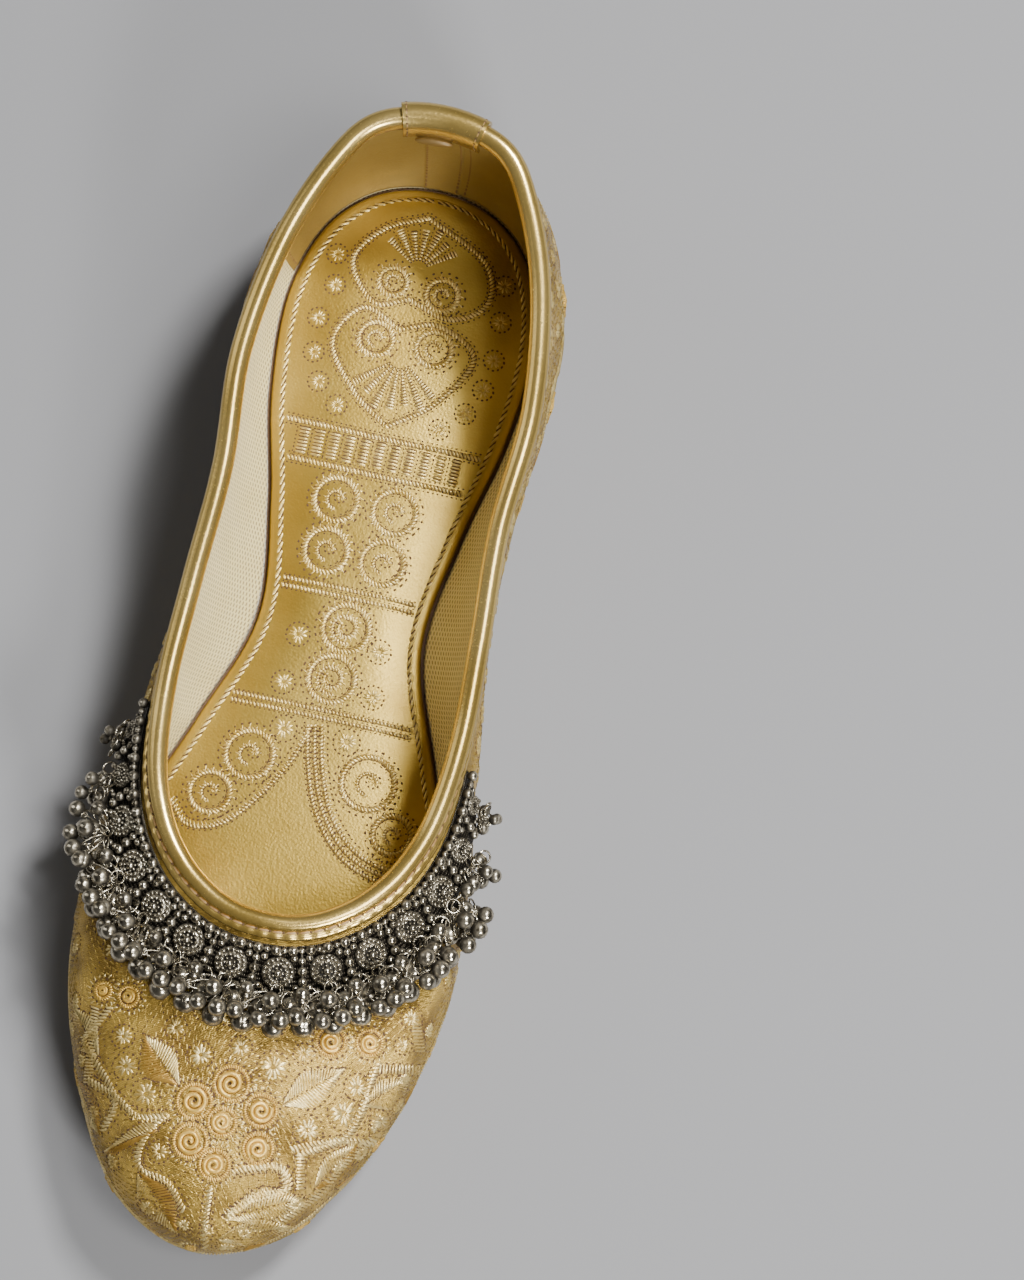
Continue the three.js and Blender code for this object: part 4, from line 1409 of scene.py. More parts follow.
def add_heel_grip():
    rise_places = np.linspace(*GRIP_RISES, 40)
    half = heel_loops(BACK_STRIP_HALF)
    grip, strip, seams = Mould(), Mould(), Mould()
    lining_strip(grip, np.linspace(-GRIP_REACH, GRIP_REACH, 120), rise_places, GRIP_SKIN)
    grip.cast("heel_grip", grip_leather, "gold_leather")
    lining_strip(strip, np.linspace(-half, half, 24), rise_places, BACK_STRIP_SKIN)
    strip.cast("back_strip", grip_leather, "gold_leather")
    places = np.linspace(*GRIP_SEAM_RISES, GRIP_SEAM_SAMPLES)
    grip_edge = GRIP_REACH - GRIP_SEAM_INSET
    for edge in (-grip_edge, grip_edge, -half * 0.8, half * 0.8, half * 1.25):
        skin = BACK_STRIP_SKIN if abs(edge) < half else GRIP_SKIN
        edges = np.full(GRIP_SEAM_SAMPLES, edge)
        normals = -outward(edges, places)
        path = surface(edges, places) + normals * (WALL + skin - 0.02)
        dots = evenly(np.hstack([path, normals]), 1.45)
        add_seam(seams, dots[:, :3], unit(dots[:, 3:]), width=0.6, height=0.16, filled=0.95, shade=0.5)
    seams.cast("heel_grip_seams", seam_thread, "gold_leather")


def collar_path(out, up):
    """Points and normals where the binding's seams go through it, out from the brocade and up from its edge."""
    loop = collar_rows(1)
    loop = np.append(loop, loop[0])
    points = beside_collar(loop, np.full(len(loop), out), np.full(len(loop), up))
    _, normals = below_collar(loop, np.full(len(loop), -up))
    return points, normals


# The binding's two seams: out and up of the needle holes, +1 outside or -1 inside, and the stitches' width
BINDING_SEAMS = (
    (GAP + 0.26, -SEAM_LINE, 1, 0.7),
    (-WALL - GAP - 0.42, -2.9, -1, 0.55),
)


def add_binding_seams():
    seams, shade_marks = Mould(), Mould()
    for out, up, turned, width in BINDING_SEAMS:
        dots, normals = collar_path(out, up)
        add_seam(seams, dots, normals * turned, width, height=0.34, filled=0.8)
        add_hole_shade(shade_marks, dots, normals * turned, length=0.42, width=0.7, height=0.16)
    seams.cast("binding_seams", seam_thread, "gold_leather")
    # Dark dots of painted shade at the needle holes.
    shade_marks.cast("binding_hole_shade", shade_thread, "gold_leather")


add_heel_patch()
add_binding_tuck()
add_heel_grip()
add_binding_seams()


# Trim of oxidised silver round the throat, placed as in the CAD: across is measured along the rosettes' line
# from the middle of the throat, down from the collar's edge, and height off the brocade

TRIM_LOOPS = np.linspace(0.5, 0.18, 401)
TRIM_LENGTHS = lengths_along(below_collar(TRIM_LOOPS, ROSETTE_LINE)[0])
TRIM_STEP = 0.4


def on_trim(across, down, height):
    across, down, height = np.broadcast_arrays(*(np.asarray(a, float) for a in (across, down, height)))
    loop = np.interp(np.abs(across), TRIM_LENGTHS, TRIM_LOOPS)
    point, normal = below_collar(np.where(across >= 0, loop, 1 - loop), down)
    return point + normal * height[..., None]


def trim_axes(across, down):
    """Columns: along the trim, up towards the collar, and out of the brocade."""
    along = unit(on_trim(across + TRIM_STEP, down, 0) - on_trim(across - TRIM_STEP, down, 0))
    fall = unit(on_trim(across, down + TRIM_STEP, 0) - on_trim(across, down - TRIM_STEP, 0))
    normal = unit(np.cross(fall, along))
    return np.stack([along, np.cross(normal, along), normal], -1)


def unit_across(i):
    return (i - (ROSETTE_COUNT - 1) / 2) * ROSETTE_PITCH


def unit_size(i):
    end = min(i, ROSETTE_COUNT - 1 - i)
    return END_SIZES[end] if end < len(END_SIZES) else 1.0


# A rosette's turned plate: share of its radius, share of its thickness, and shade
PLATE_OUTLINE = (
    (0.0, 0.0, 0.9),
    (0.94, 0.0, 0.9),
    (1.0, 0.14, 0.6),
    (0.98, 0.3, 0.3),
    (0.84, 0.34, 0.9),
    (0.72, 0.3, 1.0),
    (0.66, 0.5, 0.2),
    (0.56, 0.56, 0.1),
    (0.48, 0.46, 0.9),
    (0.4, 0.44, 1.0),
    (0.0, 0.5, 0.8),
)
# Its rings of small beads: how many, then radius of the ring, radius of a bead and height, as shares
BEAD_RINGS = ((17, 0.84, 0.165, 0.36), (11, 0.54, 0.135, 0.56), (7, 0.31, 0.1, 0.7))
# Its middle ball: radius and height, as shares
CENTRE_BALL = (0.23, 0.8)
PLATE_SIDES = 40


def add_rosettes():
    mould = Mould()
    outline = np.array(PLATE_OUTLINE)
    out, up = outline[:, 0, None], outline[:, 1, None]
    turn = np.linspace(0, TURN, PLATE_SIDES, endpoint=False)
    plate = np.stack([out * np.cos(turn), out * np.sin(turn), up + 0 * turn], -1)
    plate_faces = grid_faces(len(outline), PLATE_SIDES, columns_close=True)[:, ::-1]
    plate_shade = np.repeat(outline[:, 2], PLATE_SIDES)
    for i in range(ROSETTE_COUNT):
        radius = ROSETTE_DIAMETER / 2 * unit_size(i)
        thick = ROSETTE_THICKNESS * unit_size(i)
        axes = trim_axes(unit_across(i), ROSETTE_LINE)
        base = on_trim(unit_across(i), ROSETTE_LINE, TRIM_GAP)
        scale = np.array((radius, radius, thick))
        mould.add(base + (plate * scale) @ axes.T, plate_faces, shade=plate_shade)
        for count, ring, ball, height in BEAD_RINGS:
            angle = np.linspace(0, TURN, count, endpoint=False) + 0.4 * i
            beads = np.stack([ring * np.cos(angle), ring * np.sin(angle), np.full(count, height)], -1)
            add_balls(mould, base + (beads * scale) @ axes.T, ball * radius, axes[:, 2], 8, 5)
        share, height = CENTRE_BALL
        add_balls(mould, [base + axes[:, 2] * height * thick], share * radius, axes[:, 2], 16, 10)
    mould.cast("silver_rosettes", oxidised_silver, "silver",
               replaced=[f"rosette_{i + 1:02d}" for i in range(ROSETTE_COUNT)])


CHAIN_END = unit_across(ROSETTE_COUNT - 1) + ROSETTE_DIAMETER / 2
CHAIN_BEADS = int(2 * CHAIN_END / BEAD_PITCH)
CHAIN_WIRE = 0.55
SPACER_BEAD = 0.72
# Small beads round each rosette: across and down from its middle, and radius
FILLERS = (
    (-3.4, -3.3, 0.85),
    (3.4, -3.3, 0.85),
    (-3.7, 3.2, 0.8),
    (3.7, 3.2, 0.8),
    (0.0, -4.3, 0.7),
    (-2.1, 4.3, 0.75),
    (2.1, 4.3, 0.75),
    (-5.1, 4.9, 0.9),
)
# Beads between two rosettes: down from the collar, and share of SIDE_BEAD_DIAMETER
SIDE_BEADS = ((BEAD_LINE + 2.3, 0.8), (ROSETTE_LINE - 0.4, 1.0), (ROSETTE_LINE + 1.9, 1.0))

# Braid: its top below the collar, how far it goes below the bells' rings and in the scallops, its thickness,
# its overhang past the chain, and the length, the least depth and the share of depth of its low ends
BRAID_TOP = 4.3
BRAID_BELOW_RING = 1.6
BRAID_SCALLOP = 1.9
BRAID_THICKNESS = 0.26
BRAID_OVERHANG = 0.8
BRAID_END = 6
BRAID_LEAST = 1.6
BRAID_END_SHARE = 0.35


def add_braid():
    """The dark braid that the trim is sewn on, with a scallop below each rosette."""
    reach = CHAIN_END + BRAID_OVERHANG
    across = np.linspace(-reach, reach, 420)
    units = range(ROSETTE_COUNT)
    sizes = np.interp(across, [unit_across(i) for i in units], [unit_size(i) for i in units])
    scallop_turn = np.pi * across / ROSETTE_PITCH + np.pi / 2 * (ROSETTE_COUNT % 2 + 1)
    scallop = BRAID_SCALLOP * np.abs(np.cos(scallop_turn))
    end_taper = smooth((reach - np.abs(across)) / BRAID_END)
    shallow = BRAID_TOP + BRAID_LEAST
    bottom = ring_line(sizes) + (BRAID_BELOW_RING + scallop) * sizes
    bottom = shallow + (bottom - shallow) * (BRAID_END_SHARE + (1 - BRAID_END_SHARE) * end_taper)
    share = np.linspace(0, 1, 14)
    down = BRAID_TOP + (bottom - BRAID_TOP)[:, None] * share
    across_grid = np.broadcast_to(across[:, None], down.shape)
    edge = np.minimum(1, 0.2 + np.minimum(smooth(share * 9), smooth((1 - share) * 9)))
    top = on_trim(across_grid, down, 0.06 + BRAID_THICKNESS * edge)
    base = on_trim(across_grid, down, 0.04)
    ring = there_and_back(top, base)
    flat = np.stack([across_grid, down], -1)
    mould = Mould()
    mould.add(ring, grid_faces(len(across), ring.shape[1], columns_close=True), there_and_back(flat, flat))
    mould.cast("trim_braid", tarnished_braid, "silver")


def add_bead_row(mould, across, line, height, radii, divisions=()):
    """Beads on the trim whose middles stand at a height; returns the way the first one faces."""
    centres = on_trim(across, line, height)
    facing = unit(centres - on_trim(across, line, 0))
    add_balls(mould, centres, radii, facing, *divisions)
    return facing[0]


def add_bead_chain():
    mould = Mould()
    height = BEAD_DIAMETER / 2 + TRIM_GAP
    across = np.linspace(-CHAIN_END, CHAIN_END, CHAIN_BEADS + 1)
    add_bead_row(mould, across, BEAD_LINE, height, BEAD_DIAMETER / 2)
    fine = np.linspace(-CHAIN_END, CHAIN_END, CHAIN_BEADS * 4 + 1)
    # Shade 0.8 paints shade on the wire where it runs between the beads.
    add_tube(mould, on_trim(fine, BEAD_LINE, height), (0, 0, 1), CHAIN_WIRE / 2, shade=0.8)
    side_height = SIDE_BEAD_DIAMETER / 2 + TRIM_GAP
    downs, shares = np.array(SIDE_BEADS).T
    stub = np.linspace(BEAD_LINE, downs[-1], 5)
    for i in range(ROSETTE_COUNT - 1):
        middle = (unit_across(i) + unit_across(i + 1)) / 2
        facing = add_bead_row(mould, middle, downs, side_height, shares * SIDE_BEAD_DIAMETER / 2)
        # Shade 0.8 paints shade on the wire between the beads.
        add_tube(mould, on_trim(middle, stub, side_height), facing, CHAIN_WIRE / 2, shade=0.8)
    add_bead_row(mould, (across[1:] + across[:-1]) / 2, BEAD_LINE, height, SPACER_BEAD, divisions=(10, 7))
    for i in range(ROSETTE_COUNT):
        size = unit_size(i)
        axes = trim_axes(unit_across(i), ROSETTE_LINE)
        for off, down, share in FILLERS:
            radius = share * size
            filler = on_trim(unit_across(i) + off * size, ROSETTE_LINE + down * size, radius + TRIM_GAP)
            add_balls(mould, [filler], radius, axes[:, 2], 10, 7)
    mould.cast("silver_bead_chain", oxidised_silver, "silver", replaced=("bead_chain",))


# Bells of one bunch: across and down from its ring, height in bell radii, and share of BELL_DIAMETER
BELLS = (
    (-2.7, 3.0, 1.15, 1.1),
    (2.7, 2.3, 1.15, 1.0),
    (0.3, 6.9, 1.15, 1.16),
    (-0.8, 0.6, 3.1, 0.92),
    (0.9, 4.6, 3.3, 0.95),
    (-5.6, 0.4, 1.3, 0.82),
    (-4.8, 6.6, 1.1, 1.1),
    (4.8, 6.5, 1.15, 1.06),
    (-6.5, 3.6, 2.8, 0.88),
    (4.9, -0.6, 1.5, 0.78),
    (-2.4, 5.0, 3.1, 0.9),
    (3.6, 3.9, 3.2, 0.88),
)
# Jump rings of one bunch: across and down from its ring, height, radius
JUMP_RINGS = (
    (-3.9, -0.6, 2.4, 1.8),
    (-1.6, 2.4, 4.3, 1.9),
    (2.4, 0.6, 3.6, 1.9),
    (0.2, -1.3, 2.8, 1.5),
    (4.4, 3.4, 3.0, 1.8),
    (-5.2, 3.2, 3.0, 1.7),
    (1.2, 4.2, 4.4, 1.7),
)
SMALL_BUNCH = 5  # a bunch of the smaller end units has this many bells and rings
LINK_WIRE = 0.46
LINK_WIDTH = 1.9


def scatter(n):
    """A steady number from -1 to 1 for each n."""
    return np.sin(n * 12.9898) * np.cos(n * 4.1414)


def ring_line(size):
    return ROSETTE_LINE + (RING_LINE - ROSETTE_LINE) * (NEAREST_RING + (1 - NEAREST_RING) * size)


def add_jump_ring(mould, middle, radius, tilt, up):
    """A round wire ring that lies square to its tilt."""
    first = unit(np.cross(tilt, up))
    angle = np.linspace(0, TURN, LINK_STEPS, endpoint=False)[:, None]
    hoop = middle + radius * (first * np.cos(angle) + np.cross(tilt, first) * np.sin(angle))
    add_tube(mould, hoop, tilt, LINK_WIRE / 2, LINK_SIDES, closed=True, shade=0.08)


def add_bell(mould, centre, radius, hub, axes, turn):
    """A round bell with its eye, and the link from there to the bunch's hub."""
    along, _, normal = axes.T
    add_balls(mould, [centre], radius, normal, 16, 10)
    inward = unit(hub - centre)
    eye_start, eye_end = centre + inward * radius * 0.92, centre + inward * radius * 1.5
    add_link(mould, eye_start, eye_end, radius * 0.7, LINK_WIRE, unit(normal + along * turn))
    link_start = centre + inward * radius * 1.12
    link_end = hub + normal * 0.25 * turn - inward * 0.5
    link_width = LINK_WIDTH * (0.9 + 0.3 * turn)
    add_link(mould, link_start, link_end, link_width, LINK_WIRE, unit(normal - along * turn))


def add_bunch(mould, i):
    """The link, jump rings and bells that hang below one rosette."""
    size = unit_size(i)
    kept = SMALL_BUNCH if size < 1 else None
    radius = BELL_DIAMETER / 2 * size
    line = ring_line(size)
    axes = trim_axes(unit_across(i), line)
    along, up, normal = axes.T
    hub = on_trim(unit_across(i), line, 1.2 * size + TRIM_GAP)
    hook = on_trim(unit_across(i), ROSETTE_LINE + 2.6 * size, 1.2)
    add_link(mould, hook, hub - up * 0.7, LINK_WIDTH * size, LINK_WIRE, normal)
    for k, (across, down, height, ring_radius) in enumerate(JUMP_RINGS[:kept]):
        middle = on_trim(unit_across(i) + across * size, line + down * size, height * size + 0.3)
        tilt = unit(normal + along * scatter(i * 3 + k * 5 + 4) + up * scatter(i + k * 9 + 2) * 0.9)
        add_jump_ring(mould, middle, ring_radius * size, tilt, up)
    for k, (across, down, height, share) in enumerate(BELLS[:kept]):
        wander = scatter(i * 7 + k * 3 + 1)
        bell_across = unit_across(i) + (across + 0.25 * wander) * size
        centre = on_trim(bell_across, line + (down + 0.3 * wander) * size, height * radius + 0.2)
        add_bell(mould, centre, radius * share, hub, axes, scatter(i * 5 + k * 11 + 2))


def add_bell_fringe():
    mould = Mould()
    for i in range(ROSETTE_COUNT):
        add_bunch(mould, i)
    mould.cast("silver_bell_fringe", oxidised_silver, "silver",
               replaced=[f"ghungroo_{i + 1:02d}" for i in range(ROSETTE_COUNT)])


add_braid()
add_bead_chain()
add_rosettes()
add_bell_fringe()


# Heel lift of stacked leather

LIFT_LAYERS = 3
# The edge of one layer, from below: share of its thickness, how far it is drawn in, and shade
LIFT_EDGE = (
    (0.02, 0.35, 0.9),
    (0.12, 0.05, 0.6),
    (0.5, 0.0, 0.5),
    (0.88, 0.05, 0.6),
    (0.98, 0.35, 0.9),
)


def add_heel_lift():
    outline = foot_outline(SOLE_MARGIN - HEEL_LIFT_INSET)
    front = HEEL_CENTRE - HEEL_LIFT_BACK - HEEL_LIFT_LENGTH
    back = outline[outline[:, 1] > front]
    order = np.argsort(np.arctan2(back[:, 0], back[:, 1] - front - 1))
    back = back[order]
    corners = np.array([(back[-1][0], front), (back[0][0], front)])
    ring = np.vstack([back, np.linspace(corners[0], corners[1], 16)])
    centre = ring.mean(0)
    rows = []
    shades = []
    thick = (HEEL_LIFT - GAP) / LIFT_LAYERS
    for k in range(LIFT_LAYERS):
        for share, inset, shade in LIFT_EDGE:
            pulled = ring + unit(centre - ring) * inset
            rows.append(np.column_stack([pulled, np.full(len(ring), (k + share) * thick)]))
            shades.append(np.full(len(ring), shade))
    rows[0][:, 2] = 0
    rows[-1][:, 2] = HEEL_LIFT - GAP
    mould = Mould()
    rows = np.array(rows)
    mould.add(rows, grid_faces(len(rows), len(ring), columns_close=True)[:, ::-1], shade=np.array(shades))
    for row, turned in ((rows[0], False), (rows[-1], True)):
        cap = np.concatenate([row, [[*centre, row[0, 2]]]])
        n = len(row)
        faces = np.stack([np.arange(n), (np.arange(n) + 1) % n, np.full(n, n)], -1)
        mould.add(cap, faces[:, ::-1] if turned else faces, shade=np.append(np.full(n, 0.35), 0.1))
    mould.cast("stacked_heel_lift", sole_leather, "sole_leather", replaced=("heel_lift",))


add_heel_lift()


# Needlework of the insole, as (x, along) places: two hearts at the heel, a band of satin bars, four wheels,
# two spirals and a pair of wings at the ball. The forefoot stays plain.

HEEL_HEARTS = (
    ((-1.2, 12.9), (-10.5, 17.5), (-15.9, 26.1), (-9.2, 34.9), (-1.5, 32.5)),
    ((-1.2, 12.9), (13.5, 20.1), (16.3, 29.5), (8.7, 35.1), (-1.5, 32.5)),
    ((-2.0, 39.8), (-11.2, 36.5), (-16.3, 45.6), (-9.0, 56.0), (0.0, 62.5)),
    ((-2.0, 39.8), (6.6, 37.2), (16.0, 42.8), (9.5, 55.0), (0.0, 62.5)),
)
HEART_EYES = ((-5.9, 29.1, 3.3), (5.7, 30.0, 3.7), (-6.8, 43.0, 3.9), (6.6, 42.6, 4.1))
HEART_FANS = ((-1.0, 25.5, 2.8, 10.4, 0.58, 0.92), (-0.3, 46.0, 3.2, 13.2, 0.09, 0.41))
INSOLE_SEEDS = (
    (-19.7, 25.5), (-18.6, 32.7), (-20.6, 41.0), (-19.8, 49.0), (-17.3, 55.5), (-12.0, 60.0),
    (19.1, 24.5), (20.0, 33.0), (20.4, 42.0), (19.5, 49.3), (16.7, 55.6), (11.8, 60.5),
)
SEED_RADIUS, SPIRAL_SEED_RADIUS, WING_SEED_RADIUS = 2.1, 2.4, 2.7
BAR_BAND = (65.0, 73.6)
BAR_PITCH = 3.5
BAR_WIDTH = 2.8
WHEELS = ((-7.4, 80.9), (6.1, 81.1), (-7.1, 92.5), (5.9, 92.8))
WHEEL_RADIUS = 4.9
SPIRALS = ((1.1, 108.6), (0.4, 120.3))
SPIRAL_RADIUS = 5.3
SPIRAL_SEEDS = ((-9.1, 112.1), (9.6, 112.1), (-10.0, 123.2), (10.3, 122.4))
DOUBLE_ROPES = (101.0, 128.4)
ROPE_GAP = 1.7
WING_SEEDS = ((-7.6, 133.4), (6.9, 133.4))
LEFT_WING = ((-1.8, 131.5), (-4.5, 140.5), (-10.0, 150.0), (-16.5, 157.3), (-24.0, 159.0), (-28.6, 154.5))
LEFT_WING_WHEELS = ((-13.8, 140.6, 5.4), (-20.6, 150.8, 4.6))
RIGHT_WING = ((0.6, 131.0), (2.4, 139.0), (6.2, 148.6), (12.8, 156.2), (21.6, 159.4), (29.0, 156.8))
RIGHT_WING_WHEELS = ((13.6, 141.4, 6.0), (21.4, 151.6, 4.4))
# Each wing's edge, its rows of rope, the side on which they follow each other, and its wheels
WINGS = ((LEFT_WING, 1, -1, LEFT_WING_WHEELS), (RIGHT_WING, 3, 1, RIGHT_WING_WHEELS))
WING_ROW_PITCH = 1.55
BORDER_INSET = 2.3
BORDER_HALF = 1.4
BORDER_END = 168


def insole_half_width(along):
    """Width of the field inside the insole's border, on each side, at a place along the shoe."""
    edge = foot_outline(-WALL - INSOLE_GAP - BORDER_INSET - BORDER_HALF)[:SLAB_LOOPS // 2]
    return np.interp(along, HEEL_CENTRE - edge[:, 1], edge[:, 0])


def add_insole_needlework(chart):
    shade_marks = Needlework(chart)
    bright = Needlework(chart, shade_marks)
    edge = foot_outline(-WALL - INSOLE_GAP - BORDER_INSET)
    border = np.stack([edge[:, 0], HEEL_CENTRE - edge[:, 1]], -1)
    half = SLAB_LOOPS // 2
    for side_line in (border[:half], border[half:][::-1]):
        side_line = side_line[side_line[:, 1] < BORDER_END]
        twisted(bright, side_line)
        # A band of painted shadow under the border.
        bright.shadow_band(side_line, 1.1)
    for places in HEEL_HEARTS:
        outline = curve(*places)
        rope(bright, outline)
        shade_beside(shade_marks, outline, 1.1, pitch=1.2, size=0.44)
    for x, along, radius in HEART_EYES:
        wheel(bright, shade_marks, np.array((x, along)), radius, inner=0.5)
    for x, along, inner, outer, start, end in HEART_FANS:
        fan(bright, shade_marks, np.array((x, along)), inner, outer, start, end, rays=7)
    seeds = ((INSOLE_SEEDS, SEED_RADIUS), (SPIRAL_SEEDS, SPIRAL_SEED_RADIUS), (WING_SEEDS, WING_SEED_RADIUS))
    for places, radius in seeds:
        for place in places:
            star(bright, shade_marks, np.array(place), radius)
    for along in BAR_BAND:
        reach = insole_half_width(along)
        line = curve((-reach, along), (0, along + 0.3), (reach, along))
        rope(bright, line, width=1.4)
        shade_beside(shade_marks, line, 1.2, pitch=1.1, size=0.44)
    low, high = BAR_BAND[0] + 1.7, BAR_BAND[1] - 1.5
    reach = insole_half_width(BAR_BAND[1]) - 1
    for x in np.arange(-reach, reach - BAR_WIDTH, BAR_PITCH):
        near, far, gap = (np.array([(place, low), (place, high)]) for place in (x, x + BAR_WIDTH, x - 0.35))
        satin(bright, near, far)
        painted_shade(shade_marks, gap, pitch=0.9, size=0.42)
    for place in WHEELS:
        wheel(bright, shade_marks, np.array(place), WHEEL_RADIUS)
    for along in DOUBLE_ROPES:
        reach = insole_half_width(along)
        line = np.array([(-reach, along), (reach, along)])
        for off in (-ROPE_GAP / 2, ROPE_GAP / 2):
            rope(bright, line + (0, off), width=1.0)
        for off in (-ROPE_GAP * 0.95, 0, ROPE_GAP * 0.95):
            painted_shade(shade_marks, line + (0, off), pitch=1.1, size=0.4)
    for place in SPIRALS:
        wheel(bright, shade_marks, np.array(place), SPIRAL_RADIUS, start=0.55)
        inner_coil = coil(place, SPIRAL_RADIUS * 0.66, SPIRAL_RADIUS * 0.3, start=0.2, turns=1.4)
        rope(bright, inner_coil, width=0.9, pitch=0.75)
        hairs(bright, inner_coil, length=1.1, turned=-1)
    for wing, rows, turned, wheels in WINGS:
        edge = curve(*wing)
        places, _, left = paces(edge, 1.0)
        for row in range(rows):
            line = places + left * turned * WING_ROW_PITCH * row
            rope(bright, line, width=1.1)
            painted_shade(shade_marks, line, pitch=1.2, off=0.8 * turned, size=0.44)
        hairs(bright, edge, turned=-turned, length=1.2)
        painted_shade(shade_marks, edge, pitch=1.3, off=-1.5 * turned, size=0.5)
        for x, along, radius in wheels:
            wheel(bright, shade_marks, np.array((x, along)), radius)
    bright.sew("insole_needlework", insole_silk, "insole_leather")
    # Painted shade: dots at the needle holes and shadow bands under the needlework.
    shade_marks.sew("insole_painted_shade", shade_thread, "insole_leather")


add_insole_needlework(insole_chart)


# Needlework of the vamp, as (x, along) places seen from above

# Roses of the middle bunch, then those at the sides: place and radius
VAMP_ROSES = (
    (0.6, 213.8, 4.1), (-6.3, 219.1, 4.1), (7.9, 218.0, 3.8), (0.4, 222.1, 3.4),
    (-5.3, 227.4, 4.0), (9.1, 225.9, 3.6), (0.8, 231.2, 3.6),
    (27.3, 198.9, 3.2), (19.2, 200.5, 3.5), (-25.2, 200.4, 2.6), (-31.0, 200.3, 2.2),
)
# Seed flowers: place and radius
VAMP_STARS = (
    (-7.1, 209.3, 2.6), (8.5, 208.5, 3.1), (14.2, 204.3, 2.0), (26.8, 208.6, 2.6), (25.3, 214.7, 3.2),
    (18.6, 219.8, 2.9), (-24.4, 208.9, 2.3), (-22.4, 214.9, 2.6), (-16.8, 219.8, 2.9), (33.0, 214.3, 2.0),
    (34.4, 197.8, 1.7), (0.9, 206.0, 2.2), (-13.6, 204.8, 2.2),
)
# Leaves: base, tip, the belly of each half, and whether the second half is of antique thread
VAMP_LEAVES = (
    ((-10.4, 216.4), (-20.2, 207.5), (-13.2, 209.9), (-17.9, 215.2), True),
    ((12.2, 215.7), (23.5, 205.3), (15.6, 208.3), (19.3, 213.8), False),
    ((5.2, 241.6), (21.3, 233.9), (11.6, 234.4), (14.8, 240.6), False),
    ((4.6, 246.4), (20.0, 240.2), (11.2, 241.0), (13.2, 245.6), False),
    ((22.5, 231.5), (29.5, 219.5), (23.8, 224.6), (28.2, 226.8), True),
    ((-33.2, 219.5), (-24.5, 230.5), (-31.4, 226.2), (-27.6, 223.6), True),
    ((-14.8, 236.2), (-3.8, 247.2), (-12.4, 243.4), (-7.0, 239.4), True),
    ((-12.6, 226.5), (-23.6, 233.6), (-17.0, 226.8), (-20.6, 233.2), True),
    ((29.0, 212.0), (37.5, 203.5), (31.6, 206.2), (35.6, 210.4), False),
    ((-29.0, 214.0), (-37.0, 204.5), (-31.4, 207.4), (-35.4, 212.0), False),
)
# Outlined petals and stems of rope
VAMP_STEMS = (
    ((-29.9, 219.4), (-23.7, 221.2), (-17.6, 224.6), (-11.4, 223.2)),
    ((-11.4, 223.2), (-13.7, 226.0), (-15.5, 231.0), (-14.5, 235.4), (-8.2, 236.9), (-3.7, 241.7)),
    ((7.4, 230.6), (14.5, 228.6), (17.3, 233.0), (9.9, 237.1), (5.7, 241.9)),
    ((1.1, 236.6), (1.6, 243.5), (2.4, 248.4)),
    ((-28.7, 203.6), (-30.6, 207.4), (-32.8, 211.0), (-29.6, 214.8), (-23.0, 222.4), (-24.4, 229.0)),
    ((30.2, 202.8), (29.5, 207.7), (29.1, 213.5), (26.4, 220.0), (18.2, 225.2)),
    ((32.4, 218.6), (28.2, 224.0), (23.7, 232.4), (17.0, 240.0)),
    ((16.2, 224.3), (21.0, 222.2), (26.3, 220.3), (33.2, 219.1)),
    ((5.1, 231.8), (10.0, 229.8), (15.0, 228.9), (16.4, 233.5), (11.4, 235.3), (5.9, 240.8)),
)
# Short satin bars, each as two edges
VAMP_BARS = (
    ((30.6, 202.6), (38.6, 200.6), (30.8, 205.0), (38.9, 203.0)),
    ((37.4, 192.4), (39.4, 197.4), (34.9, 193.0), (36.9, 198.2)),
    ((-33.2, 204.0), (-31.6, 220.0), (-30.8, 204.4), (-28.8, 219.6)),
    ((17.0, 225.6), (18.6, 232.4), (19.4, 225.0), (20.6, 231.8)),
)


# The vamp's free ground: inside the widest line, and outside a flattened circle round the throat and its trim
VAMP_MARGIN = 4
THROAT_PLACE, THROAT_RADIUS, THROAT_FLATNESS = 152, 46, 1.12
VAMP_FIELD = ((-44, 44), (180, 252))
VAMP_STAR_FIELD = ((-34, 34), (187, 240))


def inside_vamp(places):
    """Which (x, along) places lie on the vamp, in front of the trim."""
    x, along = places[..., 0], places[..., 1]
    widest = line_of("wide", np.linspace(0.25, 0.5, 60))
    half_width = np.interp(along, HEEL_CENTRE - widest[:, 1], widest[:, 0])
    from_throat = np.hypot(x * THROAT_FLATNESS, along - THROAT_PLACE)
    return (np.abs(x) < half_width - VAMP_MARGIN) & (from_throat > THROAT_RADIUS)


def sewing_box(chart):
    """The works that one cloth is sewn with: the painted shade (dots at needle holes and shadow bands), bright,
    antique, petals and ground.
    """
    shade_marks = Needlework(chart)
    return shade_marks, *(Needlework(chart, shade_marks) for _ in range(4))


